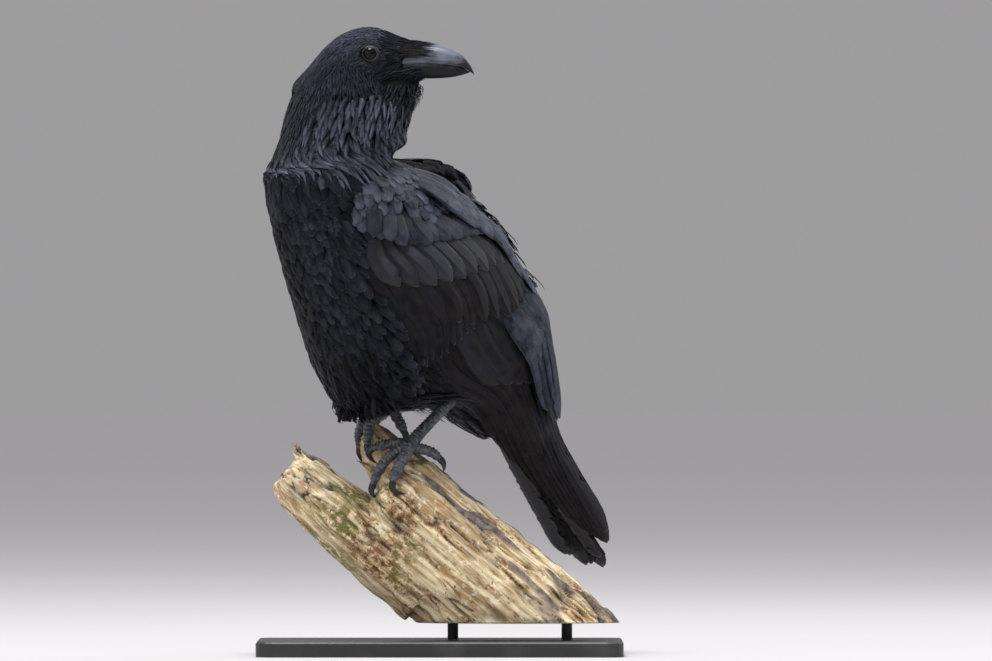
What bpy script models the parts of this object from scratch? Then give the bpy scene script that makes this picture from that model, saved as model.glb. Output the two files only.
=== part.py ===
"""A still, life-size common raven in full plumage. It stands on the broken end of a dead branch and looks back
over its left shoulder. A cut length of the branch is its perch, on two short rods over a flat base.

Metres, +Z up. The origin is the middle of the base's underside. The bird's chest points to -X, its bill to +X,
and its left side to -Y."""

import math
import random

import bmesh
import bpy
import numpy as np

# Clearance between pieces that touch
GAP = 0.0003

# The bird's pose: the body's heading off -X towards -Y, and its rise above the level
BODY_YAW = math.radians(35)
BODY_PITCH = math.radians(50)
HIP = np.array([0.0236, 0.0413, 0.2668])

# The head's heading, off +X towards -Y
HEAD_YAW = math.radians(8)

# Stand
BASE_SIZE = (0.340, 0.220, 0.014)
BASE_CORNER = 0.014
BASE_BEVEL = 0.0015
ROD_RADIUS = 0.005
ROD_X = (0.012, 0.118)
PERCH_UNDERSIDE = 0.0300

# Edges that bend by more than this look sharp
SHARP_ANGLE = math.radians(40)

UP = np.array([0.0, 0.0, 1.0])
HEADING = np.array([-math.cos(BODY_YAW), -math.sin(BODY_YAW), 0.0])
FORWARD = math.cos(BODY_PITCH) * HEADING + math.sin(BODY_PITCH) * UP
LEFT = np.cross(UP, HEADING)
DORSAL = np.cross(FORWARD, LEFT)
LOOK = np.array([math.cos(HEAD_YAW), -math.sin(HEAD_YAW), 0.0])
LOOK_RIGHT = np.cross(LOOK, UP)

PLUMAGE = dict(color=(0.012, 0.013, 0.018, 1), roughness=0.42, metallic=0.0)
HORN = dict(color=(0.020, 0.021, 0.024, 1), roughness=0.30, metallic=0.0)
SCUTE = dict(color=(0.018, 0.020, 0.025, 1), roughness=0.45, metallic=0.0)
EYE = dict(color=(0.010, 0.008, 0.007, 1), roughness=0.05, metallic=0.0)
DEAD_WOOD = dict(color=(0.62, 0.49, 0.31, 1), roughness=0.85, metallic=0.0)
STAND_PAINT = dict(color=(0.03, 0.03, 0.03, 1), roughness=0.5, metallic=0.0)


def clear_scene():
    for obj in list(bpy.data.objects):
        bpy.data.objects.remove(obj)


def paint(obj, name, look):
    material = bpy.data.materials.get(name) or bpy.data.materials.new(name)
    material.use_nodes = True
    shader = material.node_tree.nodes["Principled BSDF"]
    shader.inputs["Base Color"].default_value = look["color"]
    shader.inputs["Roughness"].default_value = look["roughness"]
    shader.inputs["Metallic"].default_value = look["metallic"]
    obj.data.materials.clear()
    obj.data.materials.append(material)
    return obj


def solid(name, points, faces):
    """A mesh object with its faces turned outwards."""
    mesh = bpy.data.meshes.new(name)
    mesh.from_pydata([tuple(p) for p in points], [], faces)
    form = bmesh.new()
    form.from_mesh(mesh)
    bmesh.ops.recalc_face_normals(form, faces=form.faces)
    form.to_mesh(mesh)
    form.free()
    obj = bpy.data.objects.new(name, mesh)
    bpy.context.scene.collection.objects.link(obj)
    return obj


def smooth(knots, values, at):
    """A curve through the values, with no overshoot at a plateau's ends."""
    knots, values = np.asarray(knots, float), np.asarray(values, float)
    at = float(min(max(at, knots[0]), knots[-1]))
    i = int(min(max(np.searchsorted(knots, at) - 1, 0), len(knots) - 2))
    slopes = np.diff(values, axis=0) / np.diff(knots).reshape(-1, *[1] * (values.ndim - 1))
    ends = []
    for k in (i, i + 1):
        before, after = slopes[max(k - 1, 0)], slopes[min(k, len(slopes) - 1)]
        ends.append((before + after) / 2)
    width = knots[i + 1] - knots[i]
    f = (at - knots[i]) / width
    return (
        values[i] * (1 + 2 * f) * (1 - f) ** 2
        + values[i + 1] * f * f * (3 - 2 * f)
        + width * (ends[0] * f * (1 - f) ** 2 - ends[1] * f * f * (1 - f))
    )


class Form:
    """A body form swept through elliptical sections. Each section has a centre, a half axis to the back, a half
    axis to the side, and the belly's depth as a share of the back's."""

    def __init__(self, sections):
        self.at = [s[0] for s in sections]
        self.rows = np.array([np.concatenate([s[1], s[2], s[3], [s[4]]]) for s in sections])

    def parts(self, s):
        row = smooth(self.at, self.rows, s)
        return row[0:3], row[3:6], row[6:9], row[9]

    def point(self, s, angle, lift=0.0, side=1):
        """The point at this angle up from the side, lifted off the surface."""
        centre, back, flank, share = self.parts(s)
        rise = math.sin(angle)
        if rise < 0:
            back = back * share
        flank = flank * side
        at = centre + flank * math.cos(angle) + back * rise
        if lift:
            out = flank * math.cos(angle) / (flank @ flank) + back * rise / max(back @ back, 1e-9)
            at = at + lift * out / np.linalg.norm(out)
        return at

    def ring(self, s, count, lift=0.0):
        return [self.point(s, 2 * math.pi * k / count, lift) for k in range(count)]

    def solid(self, name, stops, count, lift=0.0, nose=None, tail=None):
        """A closed solid through the sections at these stops. A nose or a tail point rounds off an end."""
        return loft(name, [self.ring(s, count, lift) for s in stops], nose, tail)


def loft(name, rings, first=None, last=None):
    """A closed skin over rings of points. Each end closes on a point: its own middle if none is given."""
    count = len(rings[0])
    points = [p for ring in rings for p in ring]
    faces = []
    for r in range(len(rings) - 1):
        for k in range(count):
            a, b = r * count + k, r * count + (k + 1) % count
            faces += [(a, b, b + count), (a, b + count, a + count)]
    for ring, centre in ((0, first), (len(rings) - 1, last)):
        points.append(np.mean(rings[ring], axis=0) if centre is None else np.array(centre))
        for k in range(count):
            faces.append((ring * count + k, ring * count + (k + 1) % count, len(points) - 1))
    return solid(name, points, faces)


def slab(name, tops, lows):
    """A closed solid between two grids of points, split into the same triangles on both faces."""
    wide = len(tops[0])
    points, faces = [], []
    for top, low in zip(tops, lows):
        points += list(top) + list(low)[::-1]
    ring = 2 * wide
    for r in range(len(tops) - 1):
        for k in range(wide - 1):
            top, low = r * ring + k, r * ring + ring - 1 - k
            faces += [(top, top + 1, top + 1 + ring), (top, top + 1 + ring, top + ring)]
            faces += [(low, low - 1, low - 1 + ring), (low, low - 1 + ring, low + ring)]
        for k in (wide - 1, ring - 1):
            a, b = r * ring + k, r * ring + (k + 1) % ring
            faces += [(a, b, b + ring), (a, b + ring, a + ring)]
    for start in (0, (len(tops) - 1) * ring):
        for k in range(wide - 1):
            top, low = start + k, start + ring - 1 - k
            faces += [(top, top + 1, low - 1), (top, low - 1, low)]
    return solid(name, points, faces)


def strip(name, rows, thickness):
    """A thin solid along rows of points, each row with its outward direction."""
    tops = [[p + outward * thickness / 2 for p in across] for across, outward in rows]
    lows = [[p - outward * thickness / 2 for p in across] for across, outward in rows]
    return slab(name, tops, lows)


def baked(obj):
    """Applies the object's modifiers."""
    bpy.context.view_layer.update()
    graph = bpy.context.evaluated_depsgraph_get()
    mesh = bpy.data.meshes.new_from_object(obj.evaluated_get(graph))
    obj.modifiers.clear()
    obj.data = mesh
    return obj


def largest(obj):
    """Keeps the largest closed surface of the mesh."""
    form = bmesh.new()
    form.from_mesh(obj.data)
    left, shells = set(form.verts), []
    while left:
        shell, grow = set(), [left.pop()]
        while grow:
            vert = grow.pop()
            shell.add(vert)
            for edge in vert.link_edges:
                other = edge.other_vert(vert)
                if other in left:
                    left.discard(other)
                    grow.append(other)
        shells.append(shell)
    shells.sort(key=len)
    bmesh.ops.delete(form, geom=[v for shell in shells[:-1] for v in shell], context="VERTS")
    form.to_mesh(obj.data)
    form.free()
    return obj


# The share of triangles kept after a union, which leaves slivers along its seams
UNION_KEEP = 0.75


def fused(pieces, solver="MANIFOLD", keep=UNION_KEEP):
    """The first piece joined with the others, which are removed. The smallest triangles are then merged."""
    first, others = pieces[0], pieces[1:]
    group = bpy.data.collections.new(first.name + "_pieces")
    bpy.context.scene.collection.children.link(group)
    for piece in others:
        bpy.context.scene.collection.objects.unlink(piece)
        group.objects.link(piece)
    join = first.modifiers.new("join", "BOOLEAN")
    join.operation, join.solver = "UNION", solver
    join.operand_type, join.collection = "COLLECTION", group
    baked(first)
    for piece in others:
        bpy.data.objects.remove(piece)
    bpy.data.collections.remove(group)
    if keep < 1:
        merge = first.modifiers.new("merge", "DECIMATE")
        merge.ratio = keep
        baked(first)
    return largest(first)


def swollen(obj, by=GAP):
    """A copy of the solid with each point moved out by this much."""
    mesh = obj.data.copy()
    moves = [vertex.normal * by for vertex in mesh.vertices]
    for vertex, move in zip(mesh.vertices, moves):
        vertex.co += move
    copy = bpy.data.objects.new(obj.name + "_swollen", mesh)
    bpy.context.scene.collection.objects.link(copy)
    return copy


def room(form, stops, sides):
    """A cutter with a form's shape, larger by the clearance."""
    core = form.solid("core", stops, sides)
    cutter = swollen(core)
    bpy.data.objects.remove(core)
    return cutter


def cut(obj, cutter, solver="MANIFOLD"):
    """Takes the cutter out of the object, and removes the cutter."""
    away = obj.modifiers.new("away", "BOOLEAN")
    away.operation, away.solver, away.object = "DIFFERENCE", solver, cutter
    baked(obj)
    bpy.data.objects.remove(cutter)
    return largest(obj)


def body_point(t, left, back):
    return HIP + t * FORWARD + left * LEFT + back * DORSAL


def body_section(t, middle, back, belly, side, lean):
    """A section of the body at t along the spine, leaning by this many degrees."""
    tilt = math.radians(lean)
    axis = DORSAL * math.cos(tilt) + FORWARD * math.sin(tilt)
    return (t, body_point(t, 0, middle), axis * back, LEFT * side, belly / back)


# Along the spine from the tail's root to the neck: middle, back, belly, half width, lean
TORSO = Form(
    [
        body_section(-0.066, 0.000, 0.018, 0.020, 0.022, 0),
        body_section(-0.045, 0.000, 0.034, 0.034, 0.034, -12),
        body_section(-0.020, 0.000, 0.052, 0.052, 0.044, -20),
        body_section(0.008, -0.008, 0.068, 0.086, 0.058, -14),
        body_section(0.040, -0.012, 0.080, 0.106, 0.068, -4),
        body_section(0.095, -0.010, 0.088, 0.111, 0.074, -3),
        body_section(0.150, -0.008, 0.076, 0.092, 0.072, -9),
        body_section(0.185, -0.005, 0.065, 0.082, 0.064, -17),
        body_section(0.212, -0.004, 0.057, 0.070, 0.059, -24),
        body_section(0.236, -0.002, 0.050, 0.057, 0.053, -30),
    ]
)
NECK_Y = -0.044


def level_section(s, x, y, z, back, side):
    """A section about a centre, with the half axes given as vectors."""
    return (s, np.array([x, y, z]), np.array(back), np.array(side), 1.0)


def collar_section(s, t, back, belly, side, lean):
    """A section of the neck where it overlies the torso."""
    return (s, *body_section(t, -0.002, back, belly, side, lean)[1:])


# From the collar up into the head
NECK = Form(
    [
        collar_section(-0.12, 0.205, 0.0630, 0.0765, 0.0635, -22),
        collar_section(0.00, 0.222, 0.0600, 0.0685, 0.0605, -27),
        collar_section(0.12, 0.242, 0.0590, 0.0570, 0.0565, -31),
        level_section(0.40, -0.0955, -0.0420, 0.4640, (0.0600, 0.0120, 0.0100), (0.0050, -0.0560, 0.0)),
        level_section(0.60, -0.0902, -0.0430, 0.4820, (0.0565, 0.0, 0.0020), (0.0, -0.0530, 0.0)),
        level_section(0.80, -0.0846, -0.0440, 0.5050, (0.0560, 0.0, 0.0), (0.0, -0.0480, 0.0)),
        level_section(0.95, -0.0800, -0.0440, 0.5220, (0.0530, 0.0, 0.0), (0.0, -0.0410, 0.0)),
        level_section(1.10, -0.0800, -0.0440, 0.5300, (0.0320, 0.0, 0.0), (0.0, -0.0300, 0.0)),
    ]
)


# The throat's hackles, row by row down the neck: root, tip, count, width, and how far the tips stand off
HACKLE_ROWS = (
    (1.04, 0.80, 12, 0.022, 0.0020),
    (0.88, 0.54, 12, 0.027, 0.0022),
    (0.66, 0.30, 12, 0.029, 0.0024),
    (0.46, 0.03, 12, 0.030, 0.0026),
)
HACKLE_SEED = 26
HACKLE_ROOT = -0.0120
NECK_CORE_DEPTH = 0.0050
NECK_CORE = (0.05, 0.26, 0.60, 0.90, 1.10)
COLLAR_LIFT = 0.0064
# The beard under the chin stands further off, in two short rows about the throat's middle
BEARD_ROWS = ((1.07, 0.93, 4, 0.015, 0.0110, 42), (1.00, 0.84, 5, 0.016, 0.0060, 52))
# The last row, over the breast, from one side to the other
BREAST_ROW = (0.24, -0.10, 5, 0.032, 0.0026, 60)


def look_depth(x):
    """The head's middle plane, in Y, at this X."""
    return NECK_Y - math.tan(HEAD_YAW) * (x + 0.080)


def head_section(x, top, bottom, half_width):
    """A section across the head at this X, from its jaw to its crown."""
    centre = np.array([x, look_depth(x), (top + bottom) / 2])
    return (x, centre, UP * (top - bottom) / 2, LOOK_RIGHT * half_width, 1.0)


BILL_BASE = -0.0420
HEAD = Form(
    [
        head_section(-0.1345, 0.5320, 0.5170, 0.0100),
        head_section(-0.1290, 0.5375, 0.5080, 0.0210),
        head_section(-0.1200, 0.5470, 0.5020, 0.0300),
        head_section(-0.1060, 0.5635, 0.4990, 0.0370),
        head_section(-0.0930, 0.5745, 0.5000, 0.0375),
        head_section(-0.0800, 0.5805, 0.5060, 0.0355),
        head_section(-0.0680, 0.5828, 0.5130, 0.0325),
        head_section(-0.0560, 0.5815, 0.5200, 0.0275),
        head_section(-0.0480, 0.5780, 0.5260, 0.0230),
        head_section(BILL_BASE - GAP, 0.5745, 0.5300, 0.0195),
    ]
)
EYE_AT = (-0.0645, 0.5598)
EYE_RADIUS = 0.0085
EYE_SUNK = 0.0062
LID_RADIUS = 0.0064
LID_THICKNESS = 0.0010


def bill_section(x, ridge, edge, half_width):
    """A section of a mandible at this X: a round back from its cutting edge to its ridge, and a flat inside."""
    centre = np.array([x, look_depth(x), edge])
    return (x, centre, UP * (ridge - edge), LOOK_RIGHT * half_width, 0.02)


UPPER_BILL = Form(
    [
        bill_section(BILL_BASE, 0.5680, 0.5482, 0.0135),
        bill_section(-0.0300, 0.5680, 0.5492, 0.0122),
        bill_section(-0.0150, 0.5672, 0.5500, 0.0108),
        bill_section(0.0000, 0.5655, 0.5492, 0.0092),
        bill_section(0.0110, 0.5620, 0.5480, 0.0075),
        bill_section(0.0200, 0.5570, 0.5462, 0.0056),
        bill_section(0.0262, 0.5505, 0.5436, 0.0038),
        bill_section(0.0302, 0.5445, 0.5404, 0.0020),
    ]
)
LOWER_BILL = Form(
    [
        bill_section(BILL_BASE, 0.5365, 0.5472, 0.0126),
        bill_section(-0.0250, 0.5358, 0.5486, 0.0112),
        bill_section(-0.0080, 0.5352, 0.5486, 0.0092),
        bill_section(0.0060, 0.5358, 0.5476, 0.0072),
        bill_section(0.0160, 0.5372, 0.5460, 0.0052),
        bill_section(0.0235, 0.5392, 0.5434, 0.0032),
    ]
)

# The folded wing's outer skin, from its tip to its bend
WING = Form(
    [
        body_section(-0.225, -0.002, 0.012, 0.014, 0.006, 0),
        body_section(-0.190, -0.002, 0.020, 0.030, 0.010, 0),
        body_section(-0.140, -0.002, 0.028, 0.035, 0.018, 0),
        body_section(-0.100, 0.000, 0.034, 0.041, 0.030, 0),
        body_section(-0.065, 0.002, 0.050, 0.050, 0.046, 0),
        body_section(-0.030, 0.004, 0.069, 0.060, 0.062, 0),
        body_section(0.000, 0.002, 0.086, 0.074, 0.075, 0),
        body_section(0.040, -0.004, 0.095, 0.098, 0.084, 0),
        body_section(0.095, -0.010, 0.103, 0.114, 0.088, 0),
        body_section(0.150, -0.008, 0.088, 0.098, 0.086, -5),
        body_section(0.185, -0.005, 0.076, 0.088, 0.080, -9),
        body_section(0.212, -0.004, 0.064, 0.078, 0.072, -12),
        body_section(0.232, -0.004, 0.052, 0.062, 0.060, -14),
    ]
)
# The wing's lower and upper edges, in degrees up from the flank
WING_LOW = (
    (-0.225, -60),
    (-0.190, -64),
    (-0.140, -59),
    (-0.100, -60),
    (-0.050, -55),
    (-0.010, -52),
    (0.010, -54),
    (0.060, -45),
    (0.090, -35),
    (0.140, -37),
    (0.175, -40),
    (0.205, -24),
    (0.232, -6),
)
WING_HIGH = ((-0.225, 76), (-0.140, 84), (-0.060, 88), (0.080, 89), (0.150, 86), (0.200, 78), (0.232, 64))
# How far the folded tip stands off the tail, and how far the right shoulder's feathers are raised
WING_SHIFT = ((-0.225, 0.033), (-0.190, 0.031), (-0.140, 0.0222), (-0.100, 0.013), (-0.065, 0.007), (-0.020, 0.0))
RIGHT_RAISE = 0.024
RAISE_MIDDLE = 0.165
RAISE_REACH = 0.045
WING_CORE = (0.010, 0.045, 0.080, 0.110, 0.140, 0.168, 0.192, 0.212, 0.226)
WING_CORE_THICKNESS = 0.016
MIDLINE_MARGIN = 0.0010


def wing_point(t, q, lift, side, raised=True):
    """The point of the folded wing at t along it, and q across it from its lower edge to its upper edge."""
    low = smooth(*zip(*(WING_LOW if side > 0 else WING_LOW_RIGHT)), t)
    high = smooth(*zip(*WING_HIGH), t)
    angle = math.radians(low + (high - low) * q)
    flank = np.linalg.norm(WING.parts(t)[2])
    if side < 0 and raised:
        rise = min(max((q - 0.30) / 0.50, 0.0), 1.0)
        lift += RIGHT_RAISE * math.exp(-(((t - RAISE_MIDDLE) / RAISE_REACH) ** 2)) * rise * rise * (3 - 2 * rise)
    at = WING.point(t, min(angle, math.acos(MIDLINE_MARGIN / flank)), lift, side)
    return at + LEFT * side * smooth(*zip(*WING_SHIFT), t)


def laid_vane(name, place, root, tip, width, shape, lifts, thickness, tilt=0.0):
    """A feather or lock along a surface. Place gives the surface's point for two coordinates and a lift; root and
    tip are the feather's ends in them. Shape lists how far along and how wide each row is. The tilt lifts the
    feather's lower edge over its neighbour."""
    rows = []
    step = 1e-4
    for along, wide in shape:
        u = root[0] + (tip[0] - root[0]) * along
        q = root[1] + (tip[1] - root[1]) * along
        lift = lifts[1] + (lifts[0] - lifts[1]) * (1 - along) ** ROOT_BEND
        middle = place(u, q, lift)
        across = (place(u, q + 0.01, lift) - middle) / 0.01
        outward = place(u, q, lift + step) - middle
        outward = outward / np.linalg.norm(outward)
        half = 0.5 * width * wide
        reach = half / np.linalg.norm(across)
        low, high = place(u, q - reach, lift + tilt * half), place(u, q + reach, lift - tilt * half)
        rows.append(([low, high], outward))
    return strip(name, rows, thickness)


# How sharply a root dives into what it grows from
ROOT_BEND = 3
# How far a feather's lower edge stands over its neighbour's upper edge
OVERLAP_STEP = 0.0019
LOCK_TILT = 0.14
ROUND_VANE = ((0.0, 0.55), (0.62, 1.0), (1.0, 0.42))
FLIGHT_VANE = ((0.0, 0.60), (0.45, 1.0), (0.90, 0.88), (1.0, 0.28))
LOCK = ((0.0, 0.85), (0.30, 1.0), (0.70, 0.70), (1.0, 0.08))
LOCK_THICKNESS = 0.0010


def wing_core(side):
    """The arm under the coverts."""
    across = [k / 7 for k in range(8)]
    outer = [[wing_point(t, q, -0.0010, side) for q in across] for t in WING_CORE]
    inner = [[wing_point(t, q, -WING_CORE_THICKNESS, side, False) for q in across] for t in WING_CORE]
    return slab("wing_core", outer, inner)


# The low edge of the right wing, which is carried higher
WING_LOW_RIGHT = (
    (-0.225, 10),
    (-0.140, -2),
    (-0.050, -8),
    (0.010, -30),
    (0.060, -42),
    (0.090, -36),
    (0.140, -37),
    (0.175, -40),
    (0.205, -24),
    (0.232, -6),
)


def tier(count, q_range, roots, tips, width, lifts, shape, seed, jitter=0.002):
    """The feathers of one tier, as rows of root, tip, width, lifts, shape and tilt. Roots and tips give t across
    the tier, from its lower end to its upper end."""
    draw = random.Random(seed)
    feathers = []
    for k in range(count):
        f = k / (count - 1)
        q = q_range[0] + (q_range[1] - q_range[0]) * f
        root = float(np.interp(f, np.linspace(0, 1, len(roots)), roots))
        tip = float(np.interp(f, np.linspace(0, 1, len(tips)), tips)) + draw.uniform(-jitter, jitter)
        wide = width[0] + (width[1] - width[0]) * f
        feathers.append(((root, q), (tip, q), wide, lifts, shape, OVERLAP_STEP / wide))
    return feathers


PRIMARY_TIPS = (-0.062, -0.120, -0.160, -0.190, -0.208, -0.216, -0.206)
SECONDARY_TIPS = (-0.006, -0.020, -0.031, -0.041, -0.052, -0.063, -0.074)
TERTIAL_TIPS = (-0.086, -0.070, -0.040)
PRIMARY_TILT = 0.20
SECONDARY_TILT = 0.12
VANE_THICKNESS = 0.0012


def wing_feathers():
    """Every feather of a folded wing, from the deepest tier to the top one."""
    rows = []
    for k, tip in enumerate(PRIMARY_TIPS):
        q = 0.06 + 0.100 * k
        lift = -0.0085 + 0.0010 * k
        rows.append(((0.024, q), (tip, q * 0.92 + 0.02), 0.019, (lift, lift), FLIGHT_VANE, PRIMARY_TILT))
    for k, tip in enumerate(SECONDARY_TIPS):
        q = 0.26 + 0.090 * k
        lift = -0.0040 + 0.0009 * k
        rows.append(((0.055, q), (tip, q), 0.023, (lift - 0.001, lift), FLIGHT_VANE, SECONDARY_TILT))
    for k, tip in enumerate(TERTIAL_TIPS):
        q = 0.80 + 0.050 * k
        lift = 0.0042 + 0.0014 * k
        rows.append(((0.060, q - 0.06), (tip, q), 0.027 - 0.002 * k, (lift - 0.008, lift), FLIGHT_VANE,
                     SECONDARY_TILT))
    rows += tier(3, (0.03, 0.16), (0.175, 0.170), (0.085, 0.100), (0.014, 0.016), (-0.002, 0.0005), FLIGHT_VANE, 1)
    rows += tier(7, (0.13, 0.87), (0.165, 0.085), (0.118, 0.086, 0.060, 0.044, 0.036), (0.024, 0.031),
                 (-0.0030, 0.0020), ROUND_VANE, 2)
    rows += tier(7, (0.09, 0.85), (0.214, 0.135), (0.192, 0.172, 0.146, 0.118, 0.098), (0.020, 0.026),
                 (-0.0030, 0.0032), ROUND_VANE, 3)
    rows += tier(6, (0.12, 0.84), (0.222, 0.170), (0.206, 0.188, 0.164, 0.138), (0.020, 0.026),
                 (-0.0030, 0.0040), ROUND_VANE, 4)
    rows += tier(4, (0.24, 0.76), (0.228, 0.205), (0.214, 0.192, 0.172), (0.022, 0.026), (-0.0030, 0.0044),
                 ROUND_VANE, 5)
    return rows


# The shoulder's rows over the wing's upper edge: root, tip, lower and upper end, count
SCAPULAR_ROWS = (
    (0.105, 0.024, 0.80, 0.92, 2),
    (0.145, 0.062, 0.74, 0.92, 3),
    (0.180, 0.102, 0.70, 0.91, 3),
    (0.212, 0.144, 0.66, 0.90, 3),
)
SCAPULAR_WIDTH = 0.028


def scapulars(lift):
    """The long feathers of the shoulder, over the wing's upper edge."""
    rows = []
    for row, (root, tip, low, high, count) in enumerate(SCAPULAR_ROWS):
        rows += tier(count, (low, high), (root,) * 2, (tip, tip + 0.010), (SCAPULAR_WIDTH,) * 2,
                     (-0.002, lift + 0.0004 * row), ROUND_VANE, 10 + row)
    return rows


def build_wing(name, side, scapular_lift):
    def place(t, q, lift):
        return wing_point(t, q, lift, side)

    pieces = [wing_core(side)]
    for root, tip, width, lifts, shape, tilt in wing_feathers() + scapulars(scapular_lift):
        pieces.append(laid_vane("vane", place, root, tip, width, shape, lifts, VANE_THICKNESS, tilt))
    wing = fused(pieces)
    wing.name = name
    return wing


def neck_lock(root, tip, angle, width, stand, draw):
    """A hackle down the neck at this angle round it."""
    tip += draw.uniform(-0.03, 0.03)
    drift = draw.uniform(-0.06, 0.06)
    return laid_vane("lock", NECK.point, (root, angle), (tip, angle + drift), width, LOCK, (HACKLE_ROOT, stand),
                     LOCK_THICKNESS, LOCK_TILT)


def build_neck():
    draw = random.Random(HACKLE_SEED)
    core = NECK.solid("neck", NECK_CORE, 12, -NECK_CORE_DEPTH)
    pieces = [core]
    for row, (root, tip, count, width, stand) in enumerate(HACKLE_ROWS):
        for k in range(count):
            angle = 2 * math.pi * (k + 0.5 * (row % 2)) / count
            pieces.append(neck_lock(root, tip, angle, width, stand, draw))
    for root, tip, count, width, stand, reach in BEARD_ROWS:
        for k in range(count):
            angle = math.radians(90 + reach * (2 * k / (count - 1) - 1))
            pieces.append(neck_lock(root, tip, angle, width, stand, draw))
    root, tip, count, width, stand, reach = BREAST_ROW
    for k in range(count):
        angle = math.radians(270 + reach * (2 * k / (count - 1) - 1))
        pieces.append(neck_lock(root, tip, angle, width, stand, draw))
    return fused(pieces)


# The tail's twelve feathers leave the rump in a slight fan, the middle pair on top
TAIL_ROOT = -0.066 - GAP
TAIL_LENGTH = 0.172
TAIL_FAN = math.radians(6.5)
TAIL_DROP = math.radians(1.5)
TAIL_TURN = math.radians(2.5)
TAIL_FEATHER = 0.025


def tail_place(spread):
    """The surface that a tail feather at this place in the fan lies in: 0 is the middle, 1 the outermost."""
    angle = TAIL_FAN * spread
    angle -= TAIL_TURN
    direction = -FORWARD * math.cos(angle) + LEFT * math.sin(angle)
    direction = direction * math.cos(TAIL_DROP) - DORSAL * math.sin(TAIL_DROP)
    across = LEFT * math.cos(angle) + FORWARD * math.sin(angle)
    outward = DORSAL + LEFT * 0.16 * spread
    outward = outward / np.linalg.norm(outward)
    start = body_point(TAIL_ROOT - 0.004, 0.010 * spread, 0.004 - 0.0055 * abs(spread))

    def place(u, q, lift):
        return start + direction * u + across * q + outward * lift

    return place


def eye_centre(side):
    """The eyeball's centre. The side is 1 for the bird's right eye, which looks to -Y."""
    x, z = EYE_AT
    centre, up, flank, share = HEAD.parts(x)
    rise = (z - centre[2]) / np.linalg.norm(up)
    out = flank * math.sqrt(1 - rise * rise)
    return centre + UP * (z - centre[2]) + side * out * (1 - EYE_SUNK / np.linalg.norm(out))


def build_eye(name, side):
    return ball(name, eye_centre(side), EYE_RADIUS, 7, 12)


def build_lid(side):
    """The ring of the lids, around the eye's opening."""
    centre = eye_centre(side) + side * LOOK_RIGHT * (EYE_SUNK + 0.0004)
    rings, count = [], 12
    for k in range(count):
        a = 2 * math.pi * k / count
        out = LOOK * math.cos(a) + UP * math.sin(a)
        rings.append(
            [
                centre + out * (LID_RADIUS + LID_THICKNESS * math.cos(b)) + LOOK_RIGHT * LID_THICKNESS * math.sin(b)
                for b in (2 * math.pi * j / 4 for j in range(4))
            ]
        )
    points = [p for ring in rings for p in ring]
    faces = []
    for r in range(count):
        for k in range(4):
            a, b = r * 4 + k, r * 4 + (k + 1) % 4
            c, d = (r + 1) % count * 4 + (k + 1) % 4, (r + 1) % count * 4 + k
            faces += [(a, b, c), (a, c, d)]
    return solid("lid", points, faces)


# The bristles over the nostrils, and two rows of short feathers under the chin: the mandible that they lie along,
# their angles round it in degrees, width, lift at the root and tip, and reach in X
FACE_ROWS = (
    ("upper", (14, 44, 75, 105, 136, 166), 0.0110, (0.0042, 0.0022), (-0.0520, -0.0085)),
    ("lower", (50, 90, 130), 0.0105, (0.0030, 0.0016), (-0.0540, -0.0120)),
    ("lower", (60, 90, 120), 0.0110, (0.0050, 0.0062), (-0.0560, -0.0180)),
)


HEAD_SIDES = 18


def bill_place(form):
    """The surface round a mandible, carried back into the head past its base."""

    def place(x, angle, lift):
        return form.point(max(x, BILL_BASE), angle, lift) + LOOK * min(x - BILL_BASE, 0)

    return place


def build_bristles():
    """The bristles over the nostrils, and the short feathers under the lower mandible's base."""
    draw = random.Random(31)
    pieces = []
    for mandible, angles, width, lifts, reach in FACE_ROWS:
        place = bill_place(UPPER_BILL if mandible == "upper" else LOWER_BILL)
        for degrees in angles:
            angle = math.radians(degrees)
            tip = reach[1] - draw.uniform(0, 0.004)
            pieces.append(laid_vane("bristle", place, (reach[0], angle), (tip, angle), width, LOCK, lifts,
                                    LOCK_THICKNESS))
    return pieces


def head_room():
    """The head's smooth form and the clearance round it."""
    return room(HEAD, HEAD.at, HEAD_SIDES)


def build_head():
    head = HEAD.solid("head", HEAD.at, HEAD_SIDES)
    return fused([head, build_lid(1), build_lid(-1)] + build_bristles())


# The ragged feathers under the belly: t at the root and tip, lower and upper end in degrees, count, stand-off
BELLY_ROWS = ((0.052, 0.008, 222, 296, 4, 0.0030), (0.028, -0.014, 216, 298, 5, 0.0050))
BELLY_WIDTH = 0.024
SHANK_CLEARANCE = 0.030


TORSO_STOPS = TORSO.at[:5] + [0.068] + TORSO.at[5:6] + [0.122] + TORSO.at[6:]
TORSO_SIDES = 22


def torso_room():
    """The torso's smooth form and the clearance round it."""
    return room(TORSO, TORSO_STOPS, TORSO_SIDES)


def build_torso():
    draw = random.Random(41)
    pieces = [TORSO.solid("torso", TORSO_STOPS, TORSO_SIDES)]
    for root, tip, low, high, count, stand in BELLY_ROWS:
        for k in range(count):
            angle = math.radians(low + (high - low) * k / (count - 1))
            end = tip + draw.uniform(-0.005, 0.005)
            middle = TORSO.point((root + end) / 2, angle)
            if min(np.linalg.norm(middle - np.array(ankle)) for ankle in (LEFT_ANKLE, RIGHT_ANKLE)) > SHANK_CLEARANCE:
                pieces.append(laid_vane("lock", TORSO.point, (root, angle), (end, angle), BELLY_WIDTH, LOCK,
                                        (-0.0060, stand), LOCK_THICKNESS, LOCK_TILT))
    return fused(pieces, keep=1)


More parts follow.
